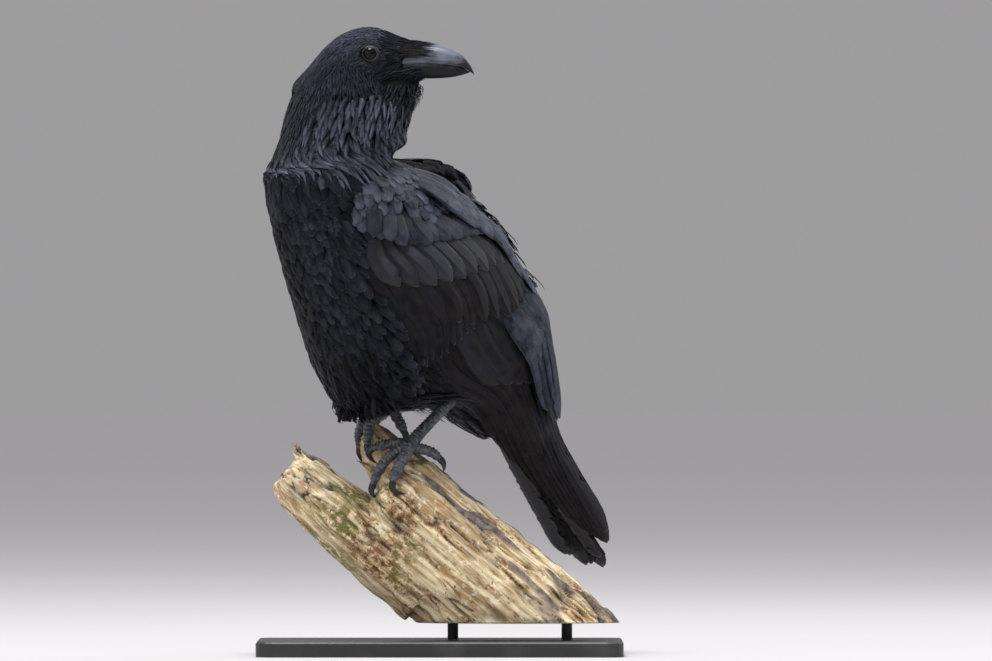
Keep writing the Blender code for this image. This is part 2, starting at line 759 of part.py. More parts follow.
def build_tail():
    rings = []
    for t, half, thick, middle in (
        (TAIL_ROOT, 0.0205, 0.0175, -0.001),
        (-0.080, 0.0190, 0.0140, -0.003),
        (-0.100, 0.0165, 0.0095, -0.004),
        (-0.122, 0.0110, 0.0045, -0.004),
    ):
        rings.append(
            [
                body_point(t, half * math.cos(a), middle + thick * math.sin(a))
                for a in (2 * math.pi * k / 14 for k in range(14))
            ]
        )
    pieces = [loft("tail", rings)]
    for k in range(6):
        for side in (1, -1):
            spread = (k + 0.5) / 5.5
            length = TAIL_LENGTH * (1.0 - 0.12 * spread**2)
            lift = 0.0045 - 0.0014 * k - (0.0007 if side < 0 else 0)
            pieces.append(
                laid_vane("vane", tail_place(side * spread), (0, 0), (length, 0), TAIL_FEATHER,
                          FLIGHT_VANE, (lift, lift), VANE_THICKNESS)
            )
    tail = fused(pieces)
    tail.name = "tail"
    return tail


def tube(name, path, radii, count, flat=1.0):
    """A closed tube of changing radius along a path."""
    path = [np.array(p, float) for p in path]
    rings, up = [], UP
    for k, point in enumerate(path):
        ahead = path[min(k + 1, len(path) - 1)] - path[max(k - 1, 0)]
        ahead = ahead / np.linalg.norm(ahead)
        side = np.cross(ahead, up)
        if np.linalg.norm(side) < 0.2:
            side = np.cross(ahead, np.array([1.0, 0.0, 0.0]))
        side = side / np.linalg.norm(side)
        up = np.cross(side, ahead)
        rings.append(
            [
                point + radii[k] * (side * math.cos(a) + up * flat * math.sin(a))
                for a in (2 * math.pi * j / count for j in range(count))
            ]
        )
    return loft(name, rings)


def build_perch():
    """A dead branch, broken off at its upper end and cut level below."""
    axis = np.array([0.755, 0.0, -0.656])
    rise = np.array([0.656, 0.0, 0.755])
    depth = np.array([0.0, 1.0, 0.0])
    middle = np.array([0.0026, 0.002, 0.0890])

    def chunk(name, stops, count, seed, rough=0.05):
        """A rough length of wood. Each stop gives u, the middle and half size across, and the same in depth."""
        draw = random.Random(seed)
        phases = [(draw.uniform(0, 6.28), draw.uniform(2, 9)) for _ in range(5)]
        rings = []
        for u, across, half, back, half_depth in stops:
            ring = []
            for k in range(count):
                a = 2 * math.pi * k / count
                bump = 1 + rough * sum(
                    math.sin(p + (j + 2) * a + 12 * w * u) / (j + 1.5) for j, (p, w) in enumerate(phases)
                )
                ring.append(
                    middle + axis * u + rise * (across + half * bump * math.sin(a))
                    + depth * (back + half_depth * bump * math.cos(a))
                )
            rings.append(ring)
        return loft(name, rings)

    pieces = [
        chunk("perch", [(-0.086, 0.012, 0.034, -0.014, 0.030), (-0.070, 0.002, 0.058, -0.006, 0.044),
                        (-0.030, 0.000, 0.062, -0.002, 0.050), (0.020, 0.000, 0.063, 0.0, 0.052),
                        (0.075, 0.000, 0.064, 0.0, 0.053), (0.130, -0.001, 0.064, 0.0, 0.053),
                        (0.230, -0.001, 0.065, 0.0, 0.053)], 22, 4),
        chunk("slab", [(-0.164, -0.034, 0.020, 0.0, 0.034), (-0.150, -0.033, 0.026, 0.0, 0.042),
                       (-0.110, -0.032, 0.031, 0.0, 0.047), (-0.060, -0.030, 0.034, 0.0, 0.048),
                       (0.010, -0.030, 0.034, 0.0, 0.048)], 16, 5),
        chunk("back", [(-0.131, 0.042, 0.011, 0.026, 0.012), (-0.118, 0.038, 0.019, 0.026, 0.017),
                       (-0.090, 0.034, 0.026, 0.024, 0.022), (-0.050, 0.026, 0.032, 0.020, 0.028)], 12, 6),
    ]
    spikes = (
        (-0.150, -0.012, -0.016, -0.178, -0.008, 0.008),
        (-0.152, -0.020, 0.014, -0.172, -0.016, 0.007),
        (-0.150, -0.034, -0.024, -0.168, -0.038, 0.009),
        (-0.150, -0.046, 0.006, -0.166, -0.050, 0.008),
        (-0.096, 0.030, -0.034, -0.102, 0.044, 0.006),
        (-0.104, 0.020, 0.010, -0.122, 0.016, 0.006),
    )
    for u, across, back, end, end_across, thick in spikes:
        root = middle + axis * u + rise * across + depth * back
        tip = middle + axis * end + rise * end_across + depth * back
        pieces.append(tube("spike", [root, (root + tip) / 2, tip], [thick, thick * 0.7, thick * 0.15], 6, 0.7))
    perch = fused(pieces)
    perch.name = "perch"
    block = bpy.data.meshes.new("saw")
    form = bmesh.new()
    bmesh.ops.create_cube(form, size=1.0)
    for vert in form.verts:
        vert.co.x *= 0.8
        vert.co.y *= 0.4
        vert.co.z = (vert.co.z - 0.5) * 0.4 + PERCH_UNDERSIDE
    form.to_mesh(block)
    form.free()
    saw = bpy.data.objects.new("saw", block)
    bpy.context.scene.collection.objects.link(saw)
    return cut(perch, saw)


# Toes and claws: the path of each toe from the foot, then its claw's
LEFT_FOOT = (-0.0279, -0.0300, 0.1960)
RIGHT_FOOT = (-0.0480, 0.0260, 0.2290)
LEFT_ANKLE = (0.0093, -0.0120, 0.2360)
RIGHT_ANKLE = (-0.0330, 0.0300, 0.2500)
TOES = {
    "left": {
        "inner": (((-0.034, -0.026, 0.197), (-0.048, -0.020, 0.196), (-0.062, -0.014, 0.193)),
                  ((-0.0665, -0.012, 0.188), (-0.0625, -0.011, 0.181), (-0.0575, -0.010, 0.178))),
        "middle": (((-0.034, -0.032, 0.193), (-0.049, -0.034, 0.183), (-0.058, -0.035, 0.169), (-0.062, -0.036, 0.159)),
                   ((-0.0635, -0.036, 0.153), (-0.0620, -0.036, 0.149), (-0.0570, -0.035, 0.146))),
        "outer": (((-0.030, -0.036, 0.190), (-0.036, -0.043, 0.179), (-0.041, -0.047, 0.169), (-0.044, -0.048, 0.162)),
                  ((-0.0435, -0.048, 0.155), (-0.0390, -0.047, 0.1515), (-0.0320, -0.046, 0.1505))),
        "hind": (((-0.021, -0.029, 0.193), (-0.008, -0.028, 0.189), (0.000, -0.027, 0.183)),
                 ((0.0030, -0.027, 0.179), (0.0040, -0.027, 0.174), (0.0030, -0.027, 0.170))),
    },
    "right": {
        "inner": (((-0.054, 0.019, 0.224), (-0.064, 0.012, 0.217), (-0.067, 0.009, 0.205), (-0.068, 0.009, 0.196)),
                  ((-0.0675, 0.009, 0.190), (-0.0655, 0.010, 0.185), (-0.0620, 0.011, 0.182))),
        "middle": (((-0.056, 0.026, 0.226), (-0.068, 0.026, 0.220), (-0.0745, 0.026, 0.209), (-0.075, 0.026, 0.192)),
                   ((-0.0748, 0.026, 0.186), (-0.0725, 0.026, 0.181), (-0.0680, 0.026, 0.178))),
        "outer": (((-0.053, 0.033, 0.224), (-0.063, 0.041, 0.216), (-0.068, 0.044, 0.205), (-0.069, 0.045, 0.197)),
                  ((-0.0685, 0.045, 0.191), (-0.0660, 0.044, 0.186), (-0.0620, 0.042, 0.184))),
        "hind": (((-0.043, 0.024, 0.225), (-0.038, 0.022, 0.217), (-0.033, 0.020, 0.207)),
                 ((-0.0310, 0.019, 0.2020), (-0.0300, 0.018, 0.197), (-0.0305, 0.018, 0.192))),
    },
}
TOE_RADIUS = 0.0040
CLAW_RADIUS = 0.0026
TARSUS_RADIUS = 0.0044


def spaced(path, count):
    """Points evenly spaced along a smooth curve through the path."""
    path = np.array(path, float)
    knots = np.concatenate([[0], np.cumsum(np.linalg.norm(np.diff(path, axis=0), axis=1))])
    return [smooth(knots, path, s) for s in np.linspace(0, knots[-1], count)]


FOOT_BALL = 0.0062
TOE_ORDER = ("middle", "inner", "outer", "hind")


def ball(name, centre, radius, rings=6, count=10):
    levels = []
    for k in range(1, rings):
        a = math.pi * k / rings
        levels.append(
            [
                np.array(centre) + radius * np.array([math.sin(a) * math.cos(b), math.sin(a) * math.sin(b), math.cos(a)])
                for b in (2 * math.pi * j / count for j in range(count))
            ]
        )
    centre = np.array(centre)
    return loft(name, levels, centre + UP * radius, centre - UP * radius)


def build_leg(side, centre, ankle, wing, perch):
    """The shank, the four toes and their claws, each cut clear of what it meets."""
    centre, ankle = np.array(centre), np.array(ankle)
    shank = tube("shank", [centre, centre + (ankle - centre) * 0.2, (centre + ankle) / 2, ankle],
                 [0.0046, TARSUS_RADIUS, 0.0042, 0.0052], 8)
    shank = fused([shank, ball("ball", centre, FOOT_BALL, 5, 8)], keep=1)
    shank.name = f"shank_{side}"
    cut(shank, torso_room())
    for other in (wing, perch):
        cut(shank, swollen(other))
    made, toes = [shank], {}
    for toe in TOE_ORDER:
        path, claw = TOES[side][toe]
        points = spaced([centre] + list(path), 6)
        radii = [TOE_RADIUS * r for r in (1.15, 1.05, 1.0, 0.98, 0.92, 0.80)]
        digit = tube(f"toe_{side}_{toe}", points, radii, 7, 0.9)
        cut(digit, swollen(shank))
        cut(digit, swollen(perch))
        if toe in ("inner", "outer"):
            cut(digit, swollen(toes["middle"]))
        toes[toe] = digit
        nail = tube(f"claw_{side}_{toe}", spaced([points[-2] * 0.3 + points[-1] * 0.7] + list(claw), 4),
                    [CLAW_RADIUS * r for r in (1.0, 0.95, 0.65, 0.15)], 6)
        cut(nail, swollen(digit))
        cut(nail, swollen(perch))
        made += [digit, nail]
    return made


def build_stand():
    width, depth, height = BASE_SIZE
    outline = []
    for cx, cy, start in ((1, 1, 0), (-1, 1, 90), (-1, -1, 180), (1, -1, 270)):
        for k in range(5):
            a = math.radians(start + 22.5 * k)
            outline.append(
                (
                    cx * (width / 2 - BASE_CORNER) + BASE_CORNER * math.cos(a),
                    cy * (depth / 2 - BASE_CORNER) + BASE_CORNER * math.sin(a),
                )
            )

    def level(z, inset):
        return [np.array([x * (1 - inset / (width / 2)), y * (1 - inset / (depth / 2)), z]) for x, y in outline]

    base = loft("stand_base", [level(0, 0), level(height - BASE_BEVEL, 0), level(height, BASE_BEVEL)])
    rods = []
    for k, x in enumerate(ROD_X):
        rods.append(
            tube(f"stand_rod_{k + 1}", [(x, 0, height + GAP), (x, 0, PERCH_UNDERSIDE - GAP)], [ROD_RADIUS] * 2, 16)
        )
    return [base] + rods


def main():
    clear_scene()
    torso = build_torso()
    head = build_head()
    eyes = [build_eye("eye_right", 1), build_eye("eye_left", -1)]
    for eye in eyes:
        cut(head, swollen(eye))
    neck = build_neck()
    cut(neck, head_room())
    cut(neck, torso_room())
    upper = UPPER_BILL.solid("bill_upper", UPPER_BILL.at, 14, tail=(0.0316, look_depth(0.0316), 0.5392))
    lower = LOWER_BILL.solid("bill_lower", LOWER_BILL.at, 14, tail=(0.0285, look_depth(0.0285), 0.5412))
    cut(lower, swollen(upper))
    wings = [build_wing("wing_left", 1, 0.0055), build_wing("wing_right", -1, 0.0055)]
    for wing in wings:
        cut(wing, torso_room())
        cut(wing, NECK.solid("collar", NECK.at[:-1], 20, COLLAR_LIFT))
    tail = build_tail()
    cut(tail, torso_room())
    perch = build_perch()
    legs = build_leg("left", LEFT_FOOT, LEFT_ANKLE, wings[0], perch)
    legs += build_leg("right", RIGHT_FOOT, RIGHT_ANKLE, wings[1], perch)
    stand = build_stand()
    for obj in [torso, neck, head, tail] + wings:
        paint(obj, "plumage", PLUMAGE)
    for obj in eyes:
        paint(obj, "eye", EYE)
    for obj in (upper, lower):
        paint(obj, "horn", HORN)
    for obj in legs:
        if obj.name.startswith("claw"):
            paint(obj, "claw", HORN)
        else:
            paint(obj, "scute", SCUTE)
    paint(perch, "dead_wood", DEAD_WOOD)
    paint(stand[0], "stand_paint", STAND_PAINT)
    for rod in stand[1:]:
        paint(rod, "stand_metal", STAND_PAINT)
    for obj in bpy.data.objects:
        obj.data.shade_smooth()
        obj.data.set_sharp_from_angle(angle=SHARP_ANGLE)


main()
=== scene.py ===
"""A life-size raven in full plumage on the broken end of a dead branch, looking back over its shoulder.

Metres, +Z up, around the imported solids. The chest points to -X, the bill to +X, the bird's left to -Y."""

import itertools
import math

import bpy
import numpy as np
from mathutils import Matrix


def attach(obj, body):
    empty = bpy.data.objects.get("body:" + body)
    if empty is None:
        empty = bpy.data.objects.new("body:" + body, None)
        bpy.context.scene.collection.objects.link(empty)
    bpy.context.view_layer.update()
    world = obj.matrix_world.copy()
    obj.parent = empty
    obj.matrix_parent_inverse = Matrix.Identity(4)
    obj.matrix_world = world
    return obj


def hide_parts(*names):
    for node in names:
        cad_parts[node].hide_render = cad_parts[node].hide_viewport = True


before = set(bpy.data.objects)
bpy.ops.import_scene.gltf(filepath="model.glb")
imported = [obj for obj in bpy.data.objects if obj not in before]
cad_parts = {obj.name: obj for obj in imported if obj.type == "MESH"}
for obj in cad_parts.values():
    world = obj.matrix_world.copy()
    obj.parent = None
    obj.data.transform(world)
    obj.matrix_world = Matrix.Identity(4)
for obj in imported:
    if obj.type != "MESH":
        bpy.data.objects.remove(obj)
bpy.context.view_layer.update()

# The studio: a wide pale floor, a soft sky and three soft lamps. The camera stands level with the raven's
# breast, far off, as with a long lens, and sees as many millimetres to a pixel as the photograph does.
PHOTO_WIDTH = 992
METRES_PER_PIXEL = 0.00093
VIEW_CENTRE = (0.0521, 0.3018)
VIEW_DISTANCE = 14.0
FLOOR_HALF = 40.0
SKY_HIGH = (0.80, 0.79, 0.82, 1)
SKY_LOW = (0.500, 0.490, 0.500, 1)
SKY_FADE = (0.03, 0.35)
SKY_STRENGTH = 0.68
FLOOR_COLOUR = (0.60, 0.59, 0.595, 1)
AIM = (0.0, 0.0, 0.35)
# Each lamp: place, size across, power
LAMPS = (
    ((-0.9, -1.2, 6.0), 3.2, 400.0),
    ((-2.6, -2.6, 1.5), 1.6, 14.0),
    ((2.4, 1.6, 1.8), 1.6, 18.0),
)

camera_lens = bpy.data.cameras.new("camera")
camera_lens.lens = camera_lens.sensor_width * VIEW_DISTANCE / (PHOTO_WIDTH * METRES_PER_PIXEL)
camera_lens.clip_end = 200
camera = bpy.data.objects.new("camera", camera_lens)
camera.location = (VIEW_CENTRE[0], -VIEW_DISTANCE, VIEW_CENTRE[1])
camera.rotation_euler = (math.radians(90), 0, 0)
bpy.context.scene.collection.objects.link(camera)
bpy.context.scene.camera = camera
# Plain contrast, so that black plumage stays black
bpy.context.scene.view_settings.view_transform = "Standard"

for place, across, power in LAMPS:
    lamp = bpy.data.lights.new("softbox", "AREA")
    lamp.shape = "DISK"
    lamp.size = across
    lamp.energy = power
    softbox = bpy.data.objects.new("softbox", lamp)
    softbox.location = place
    aim = np.array(AIM) - np.array(place)
    pitch = math.acos(-aim[2] / np.linalg.norm(aim))
    softbox.rotation_euler = (pitch, 0, math.atan2(-aim[0], aim[1]))
    bpy.context.scene.collection.objects.link(softbox)


def mesh_object(name, points, faces, material):
    """A smooth mesh object in this material."""
    mesh = bpy.data.meshes.new(name)
    mesh.from_pydata([tuple(p) for p in points], [], [tuple(f) for f in faces])
    mesh.shade_smooth()
    made = bpy.data.objects.new(name, mesh)
    made.data.materials.append(material)
    bpy.context.scene.collection.objects.link(made)
    return made


class Nodes:
    """Adds shader nodes to a tree. Each method but the first gives the new node's output."""

    def __init__(self, tree):
        self.tree = tree

    def node(self, kind, inputs=None, **settings):
        """The new node itself. Each input is a value, or another node's output."""
        made = self.tree.nodes.new("ShaderNode" + kind)
        for name, value in settings.items():
            setattr(made, name, value)
        for name, value in (inputs or {}).items():
            self.give(made.inputs[name], value)
        return made

    def give(self, socket, value):
        if isinstance(value, bpy.types.NodeSocket):
            self.tree.links.new(value, socket)
        else:
            socket.default_value = value

    def math(self, operation, a, b=0.0):
        return self.node("Math", {0: a, 1: b}, operation=operation).outputs[0]

    def plus(self, a, b):
        return self.math("ADD", a, b)

    def times(self, a, b):
        return self.math("MULTIPLY", a, b)

    def mix(self, factor, first, second):
        """A colour between two colours."""
        return self.node("Mix", {0: factor, 6: first, 7: second}, data_type="RGBA").outputs[2]

    def ramp(self, value, low, high):
        """Rises from 0 to 1 as the value goes from low to high."""
        return self.node("MapRange", {0: value, 1: low, 2: high}, interpolation_type="SMOOTHSTEP").outputs[0]

    def spread(self, value, least, most, low=0.0, high=1.0):
        """Goes evenly from least to most as the value goes from low to high."""
        return self.node("MapRange", {0: value, 1: low, 2: high, 3: least, 4: most}).outputs[0]

    def noise(self, place, scale, detail, roughness=0.5):
        inputs = {"Vector": place, "Scale": scale, "Detail": detail, "Roughness": roughness}
        return self.node("TexNoise", inputs).outputs["Fac"]

    def stretch(self, place, scale):
        return self.node("Mapping", {"Vector": place, "Scale": scale}).outputs[0]

    def named(self, name):
        """A value that the mesh keeps on each of its points."""
        return self.node("Attribute", attribute_name=name).outputs["Fac"]

    def bump(self, height, distance, strength):
        return self.node("Bump", {"Height": height, "Distance": distance, "Strength": strength}).outputs[0]


class Look(Nodes):
    """A material, with its nodes and its shader."""

    def __init__(self, name, roughness, metallic=0.0):
        self.material = bpy.data.materials.new(name)
        self.material.use_nodes = True
        super().__init__(self.material.node_tree)
        self.shader = self.tree.nodes["Principled BSDF"]
        self.feed(Roughness=roughness, Metallic=metallic)

    def place(self):
        """The place of each point on its object."""
        return self.node("TexCoord").outputs["Object"]

    def feed(self, **sockets):
        """Sets or links the shader's inputs. An underscore in a name stands for a space."""
        for name, value in sockets.items():
            self.give(self.shader.inputs[name.replace("_", " ")], value)


# The sky is a little dimmer low down, where it meets the floor
sky = bpy.data.worlds.new("sky")
sky.use_nodes = True
above = Nodes(sky.node_tree)
height = above.node("SeparateXYZ", {0: above.node("TexCoord").outputs["Generated"]}).outputs[2]
backdrop = sky.node_tree.nodes["Background"]
above.give(backdrop.inputs["Color"], above.mix(above.ramp(height, *SKY_FADE), SKY_LOW, SKY_HIGH))
above.give(backdrop.inputs["Strength"], SKY_STRENGTH)
bpy.context.scene.world = sky

floor_look = Look("floor", 0.85)
floor_look.feed(Base_Color=FLOOR_COLOUR)
corners = [(x * FLOOR_HALF, y * FLOOR_HALF, 0) for x, y in ((-1, -1), (1, -1), (1, 1), (-1, 1))]
floor = mesh_object("floor", corners, [(0, 1, 2, 3)], floor_look.material)

# The display stand: a flat base of fibreboard in satin black paint, with fine roller texture and a little
# wear on its rim, and two short rods of blackened steel, tapped into the base and up into the perch.
STAND_BLACK = (0.022, 0.022, 0.023, 1)
STAND_RUBBED = (0.060, 0.058, 0.055, 1)


def satin_black(name, metallic, roughness, speckle, depth):
    """Black paint or blackened steel with a fine skin."""
    look = Look(name, roughness, metallic)
    place = look.place()
    fine = look.noise(place, speckle, 3.0)
    broad = look.noise(place, 18.0, 4.0)
    colour = look.mix(look.ramp(broad, 0.45, 0.80), STAND_BLACK, STAND_RUBBED)
    shine = look.spread(fine, roughness - 0.07, roughness + 0.09)
    look.feed(Base_Color=colour, Roughness=shine, Normal=look.bump(fine, depth, 0.6))
    return look.material


painted = satin_black("stand_paint", 0.0, 0.42, 900.0, 0.0002)
blackened = satin_black("stand_metal", 0.9, 0.38, 1500.0, 0.0001)
for name, look in (("stand_base", painted), ("stand_rod_1", blackened), ("stand_rod_2", blackened)):
    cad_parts[name].data.materials.clear()
    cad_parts[name].data.materials.append(look)

# The perch: a length of dead branch, broken off at its raised end and sawn level below. The bare wood is
# split along its fibres and rotted brown in patches, with scraps of grey bark above and moss to its left.
# Its cracks and chips are painted near-black, as painted shade in them.
GRAIN_AXIS = np.array([0.755, 0.0, -0.656])
GRAIN_RISE = np.array([0.656, 0.0, 0.755])
WOOD_CELL = 0.0017
PERCH_FOOT = 0.0304
BARE_WOOD = (0.46, 0.29, 0.12, 1), (0.96, 0.82, 0.54, 1)
ROTTEN_WOOD = (0.075, 0.028, 0.010, 1), (0.38, 0.16, 0.05, 1)
GREY_BARK = (0.10, 0.075, 0.060, 1), (0.34, 0.28, 0.25, 1)
BLEACHED = (0.98, 0.92, 0.74, 1)
DARK_PIT = (0.16, 0.085, 0.040, 1)
# Near-black painted shade for the cracks and chips
CRACK_SHADE = (0.055, 0.030, 0.014, 1)
MOSS_GREEN = (0.16, 0.17, 0.035, 1)


def cloudy(points, scale, seed=0.0):
    """Smooth noise from -1 to 1 at the points, with lumps of about this size."""
    at = points / scale + seed * 17.3
    cell = np.floor(at)
    part = at - cell
    part = part * part * (3 - 2 * part)
    total = np.zeros(len(points))
    for corner in itertools.product((0, 1), repeat=3):
        wild = np.sin((cell + corner) @ np.array([127.1, 311.7, 74.7])) * 43758.5453
        value = 2 * (wild - np.floor(wild)) - 1
        total += value * np.prod(np.where(corner, part, 1 - part), axis=1)
    return total


def remeshed(obj, cell):
    """The object as one even skin of small faces."""
    even = obj.modifiers.new("even", "REMESH")
    even.mode = "VOXEL"
    even.voxel_size = cell
    bpy.context.view_layer.update()
    graph = bpy.context.evaluated_depsgraph_get()
    mesh = bpy.data.meshes.new_from_object(obj.evaluated_get(graph))
    obj.modifiers.clear()
    old, obj.data = obj.data, mesh
    bpy.data.meshes.remove(old)
    mesh.shade_smooth()
    return obj


def points_of(mesh):
    flat = np.empty(3 * len(mesh.vertices))
    mesh.vertices.foreach_get("co", flat)
    return flat.reshape(-1, 3)


def normals_of(mesh):
    flat = np.empty(3 * len(mesh.vertices))
    mesh.vertex_normals.foreach_get("vector", flat)
    return flat.reshape(-1, 3)


def rising(value, start, width):
    """Rises from 0 to 1 over this width past the start. A negative width makes it rise the other way."""
    return np.clip((value - start) / width, 0, 1)


def keep_on_points(mesh, name, values):
    """Keeps a value on each point, for the material to read."""
    mesh.attributes.new(name, "FLOAT", "POINT").data.foreach_set("value", values)


def dead_wood():
    """Bare split wood, with rot, pits, bark, painted shade in the cracks and chips, and moss over it, by
    where each lies on the branch.
    """
    look = Look("dead_wood", 0.8)
    place = look.place()
    turn = (0, math.atan2(GRAIN_AXIS[2], GRAIN_AXIS[0]), 0)
    grain = look.node("Mapping", {"Vector": place, "Rotation": turn}).outputs[0]
    fibre = look.noise(look.stretch(grain, (16, 190, 190)), 1.0, 6.0, 0.65)
    patch = look.noise(look.stretch(grain, (14, 42, 42)), 1.0, 5.0, 0.7)
    spots = look.noise(place, 130.0, 5.0, 0.75)
    colour = look.mix(look.ramp(fibre, 0.36, 0.62), *BARE_WOOD)
    colour = look.mix(look.ramp(spots, 0.54, 0.68), colour, BLEACHED)
    rot = look.times(look.ramp(patch, 0.51, 0.60), look.ramp(spots, 0.42, 0.56))
    colour = look.mix(rot, colour, look.mix(look.ramp(fibre, 0.35, 0.62), *ROTTEN_WOOD))
    colour = look.mix(look.ramp(spots, 0.38, 0.32), colour, DARK_PIT)
    colour = look.mix(look.named("bark"), colour, look.mix(look.ramp(spots, 0.35, 0.7), *GREY_BARK))
    # Painted shade in the cracks and chips
    colour = look.mix(look.named("crack"), colour, CRACK_SHADE)
    moss = look.times(look.named("moss"), look.ramp(spots, 0.42, 0.58))
    colour = look.mix(moss, colour, MOSS_GREEN)
    height = look.plus(fibre, look.times(spots, 0.5))
    look.feed(Base_Color=colour, Normal=look.bump(height, 0.0012, 0.8))
    return look.material


def build_perch():
    perch = bpy.data.objects.new("branch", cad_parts["perch"].data.copy())
    bpy.context.scene.collection.objects.link(perch)
    perch.data.materials.clear()
    remeshed(perch, WOOD_CELL)
    points, outward = points_of(perch.data), normals_of(perch.data)
    along = points @ GRAIN_AXIS
    across = points @ GRAIN_RISE

    def drawn_out(share):
        """The points, closer together along the grain by this share."""
        return np.stack([along * share, points[:, 1], across], axis=1)

    fibres = cloudy(drawn_out(0.10), 0.0042, 1) + 0.6 * cloudy(drawn_out(0.10), 0.0020, 2)
    groove = cloudy(drawn_out(0.10), 0.0085, 3) + 0.35 * cloudy(drawn_out(0.10), 0.003, 4)
    crack = np.clip(1 - np.abs(groove) / 0.10, 0, 1) * rising(cloudy(points, 0.05, 5), -0.75, 1)
    lumps = cloudy(points, 0.022, 6) + 0.5 * cloudy(points, 0.010, 7)
    chips = rising(cloudy(drawn_out(0.35), 0.011, 8), 0.20, 1)
    bark = np.clip((cloudy(drawn_out(0.28), 0.0085, 9) - 0.16) * 7, 0, 1)
    bark *= rising(outward @ GRAIN_RISE, 0.10, 0.5)
    moss = np.clip((cloudy(points, 0.030, 10) + 0.25) * 3, 0, 1) * rising(across, 0.10, -0.02)
    moss *= rising(along, -0.19, 0.02) * rising(along, -0.06, -0.03)
    move = 0.0011 * fibres + 0.0018 * lumps - 0.0042 * crack - 0.0050 * chips + 0.0016 * bark
    points = points + outward * (move * rising(points[:, 2], PERCH_FOOT, 0.003))[:, None]
    perch.data.vertices.foreach_set("co", points.ravel())
    keep_on_points(perch.data, "bark", bark)
    # Where the cracks and chips take their painted shade
    keep_on_points(perch.data, "crack", np.clip(crack * 1.2 + chips * 0.8, 0, 1))
    keep_on_points(perch.data, "moss", moss)
    perch.data.update()
    perch.data.materials.append(dead_wood())
    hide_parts("perch")
    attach(perch, "root")


build_perch()

# The body under the feathers: torso, neck, head and folded arms as one dark skin. Each is a form swept
# through ellipses, as in the solids. The spine rises to the front, and the head is turned back.
BODY_YAW = math.radians(35)
BODY_PITCH = math.radians(50)
HEAD_YAW = math.radians(8)
HIP = np.array([0.0236, 0.0413, 0.2668])
UP = np.array([0.0, 0.0, 1.0])
HEADING = np.array([-math.cos(BODY_YAW), -math.sin(BODY_YAW), 0.0])
FORWARD = math.cos(BODY_PITCH) * HEADING + math.sin(BODY_PITCH) * UP
LEFT = np.cross(UP, HEADING)
DORSAL = np.cross(FORWARD, LEFT)
LOOK = np.array([math.cos(HEAD_YAW), -math.sin(HEAD_YAW), 0.0])
LOOK_RIGHT = np.cross(LOOK, UP)
NECK_Y = -0.044
SKIN_DEPTH = 0.0022
SKIN_CELL = 0.0024
STEP = 1e-4
FULL_TURN = 2 * math.pi


def curve(knots, values, at):
    """A smooth curve through the values, read at many places."""
    knots, values = np.asarray(knots, float), np.asarray(values, float)
    at = np.clip(np.asarray(at, float), knots[0], knots[-1])
    i = np.clip(np.searchsorted(knots, at) - 1, 0, len(knots) - 2)
    wide = values.ndim > 1
    gaps = np.diff(knots)
    slopes = np.diff(values, axis=0) / (gaps[:, None] if wide else gaps)
    turns = np.concatenate([slopes[:1], (slopes[:-1] + slopes[1:]) / 2, slopes[-1:]])
    f, gap = (at - knots[i]) / gaps[i], gaps[i]
    if wide:
        f, gap = f[..., None], gap[..., None]
    ends = values[i] * (1 + 2 * f) * (1 - f) ** 2 + values[i + 1] * f * f * (3 - 2 * f)
    return ends + gap * (turns[i] * f * (1 - f) ** 2 - turns[i + 1] * f * f * (1 - f))


def all_round(count):
    """Angles evenly spaced over a full turn."""
    return FULL_TURN * np.arange(count) / count


def unit(vectors):
    return vectors / np.maximum(np.linalg.norm(vectors, axis=-1, keepdims=True), 1e-12)


class Form:
    """A body form. Each section has its place along, its centre, a half axis to the back, a half axis to the
    side, and the belly's depth as a share of the back's."""

    def __init__(self, sections):
        self.at = [s[0] for s in sections]
        self.rows = np.array([np.concatenate([s[1], s[2], s[3], [s[4]]]) for s in sections])

    def parts(self, s):
        row = curve(self.at, self.rows, s)
        return row[..., 0:3], row[..., 3:6], row[..., 6:9], row[..., 9:10]

    def point(self, s, angle, lift=0.0, side=1):
        """The points at these angles up from the side, lifted off the surface."""
        s, angle, lift = np.broadcast_arrays(s, angle, lift)
        centre, back, flank, share = self.parts(s)
        rise = np.sin(angle)[..., None]
        run = np.cos(angle)[..., None]
        back = np.where(rise < 0, back * share, back)
        flank = flank * side
        deep = np.maximum(np.sum(back * back, axis=-1, keepdims=True), 1e-9)
        out = flank * run / np.sum(flank * flank, axis=-1, keepdims=True) + back * rise / deep
        return centre + flank * run + back * rise + unit(out) * lift[..., None]


def body_point(t, left, back):
    return HIP + t * FORWARD + left * LEFT + back * DORSAL


def body_section(t, middle, back, belly, side, lean):
    """A section at t along the spine, leaning by this many degrees."""
    tilt = math.radians(lean)
    axis = DORSAL * math.cos(tilt) + FORWARD * math.sin(tilt)
    return (t, body_point(t, 0, middle), axis * back, LEFT * side, belly / back)


def level_section(s, centre, back, side):
    return (s, np.array(centre), np.array(back), np.array(side), 1.0)


def round_section(s, x, y, z, half_x, half_y):
    return level_section(s, (x, y, z), (half_x, 0.0, 0.0), (0.0, -half_y, 0.0))


def collar_section(s, t, back, belly, side, lean):
    return (s, *body_section(t, -0.002, back, belly, side, lean)[1:])


def look_depth(x):
    """The head's middle plane, in Y, at this X."""
    return NECK_Y - math.tan(HEAD_YAW) * (x + 0.080)


def head_section(x, top, bottom, half_width):
    centre = np.array([x, look_depth(x), (top + bottom) / 2])
    return (x, centre, UP * (top - bottom) / 2, LOOK_RIGHT * half_width, 1.0)


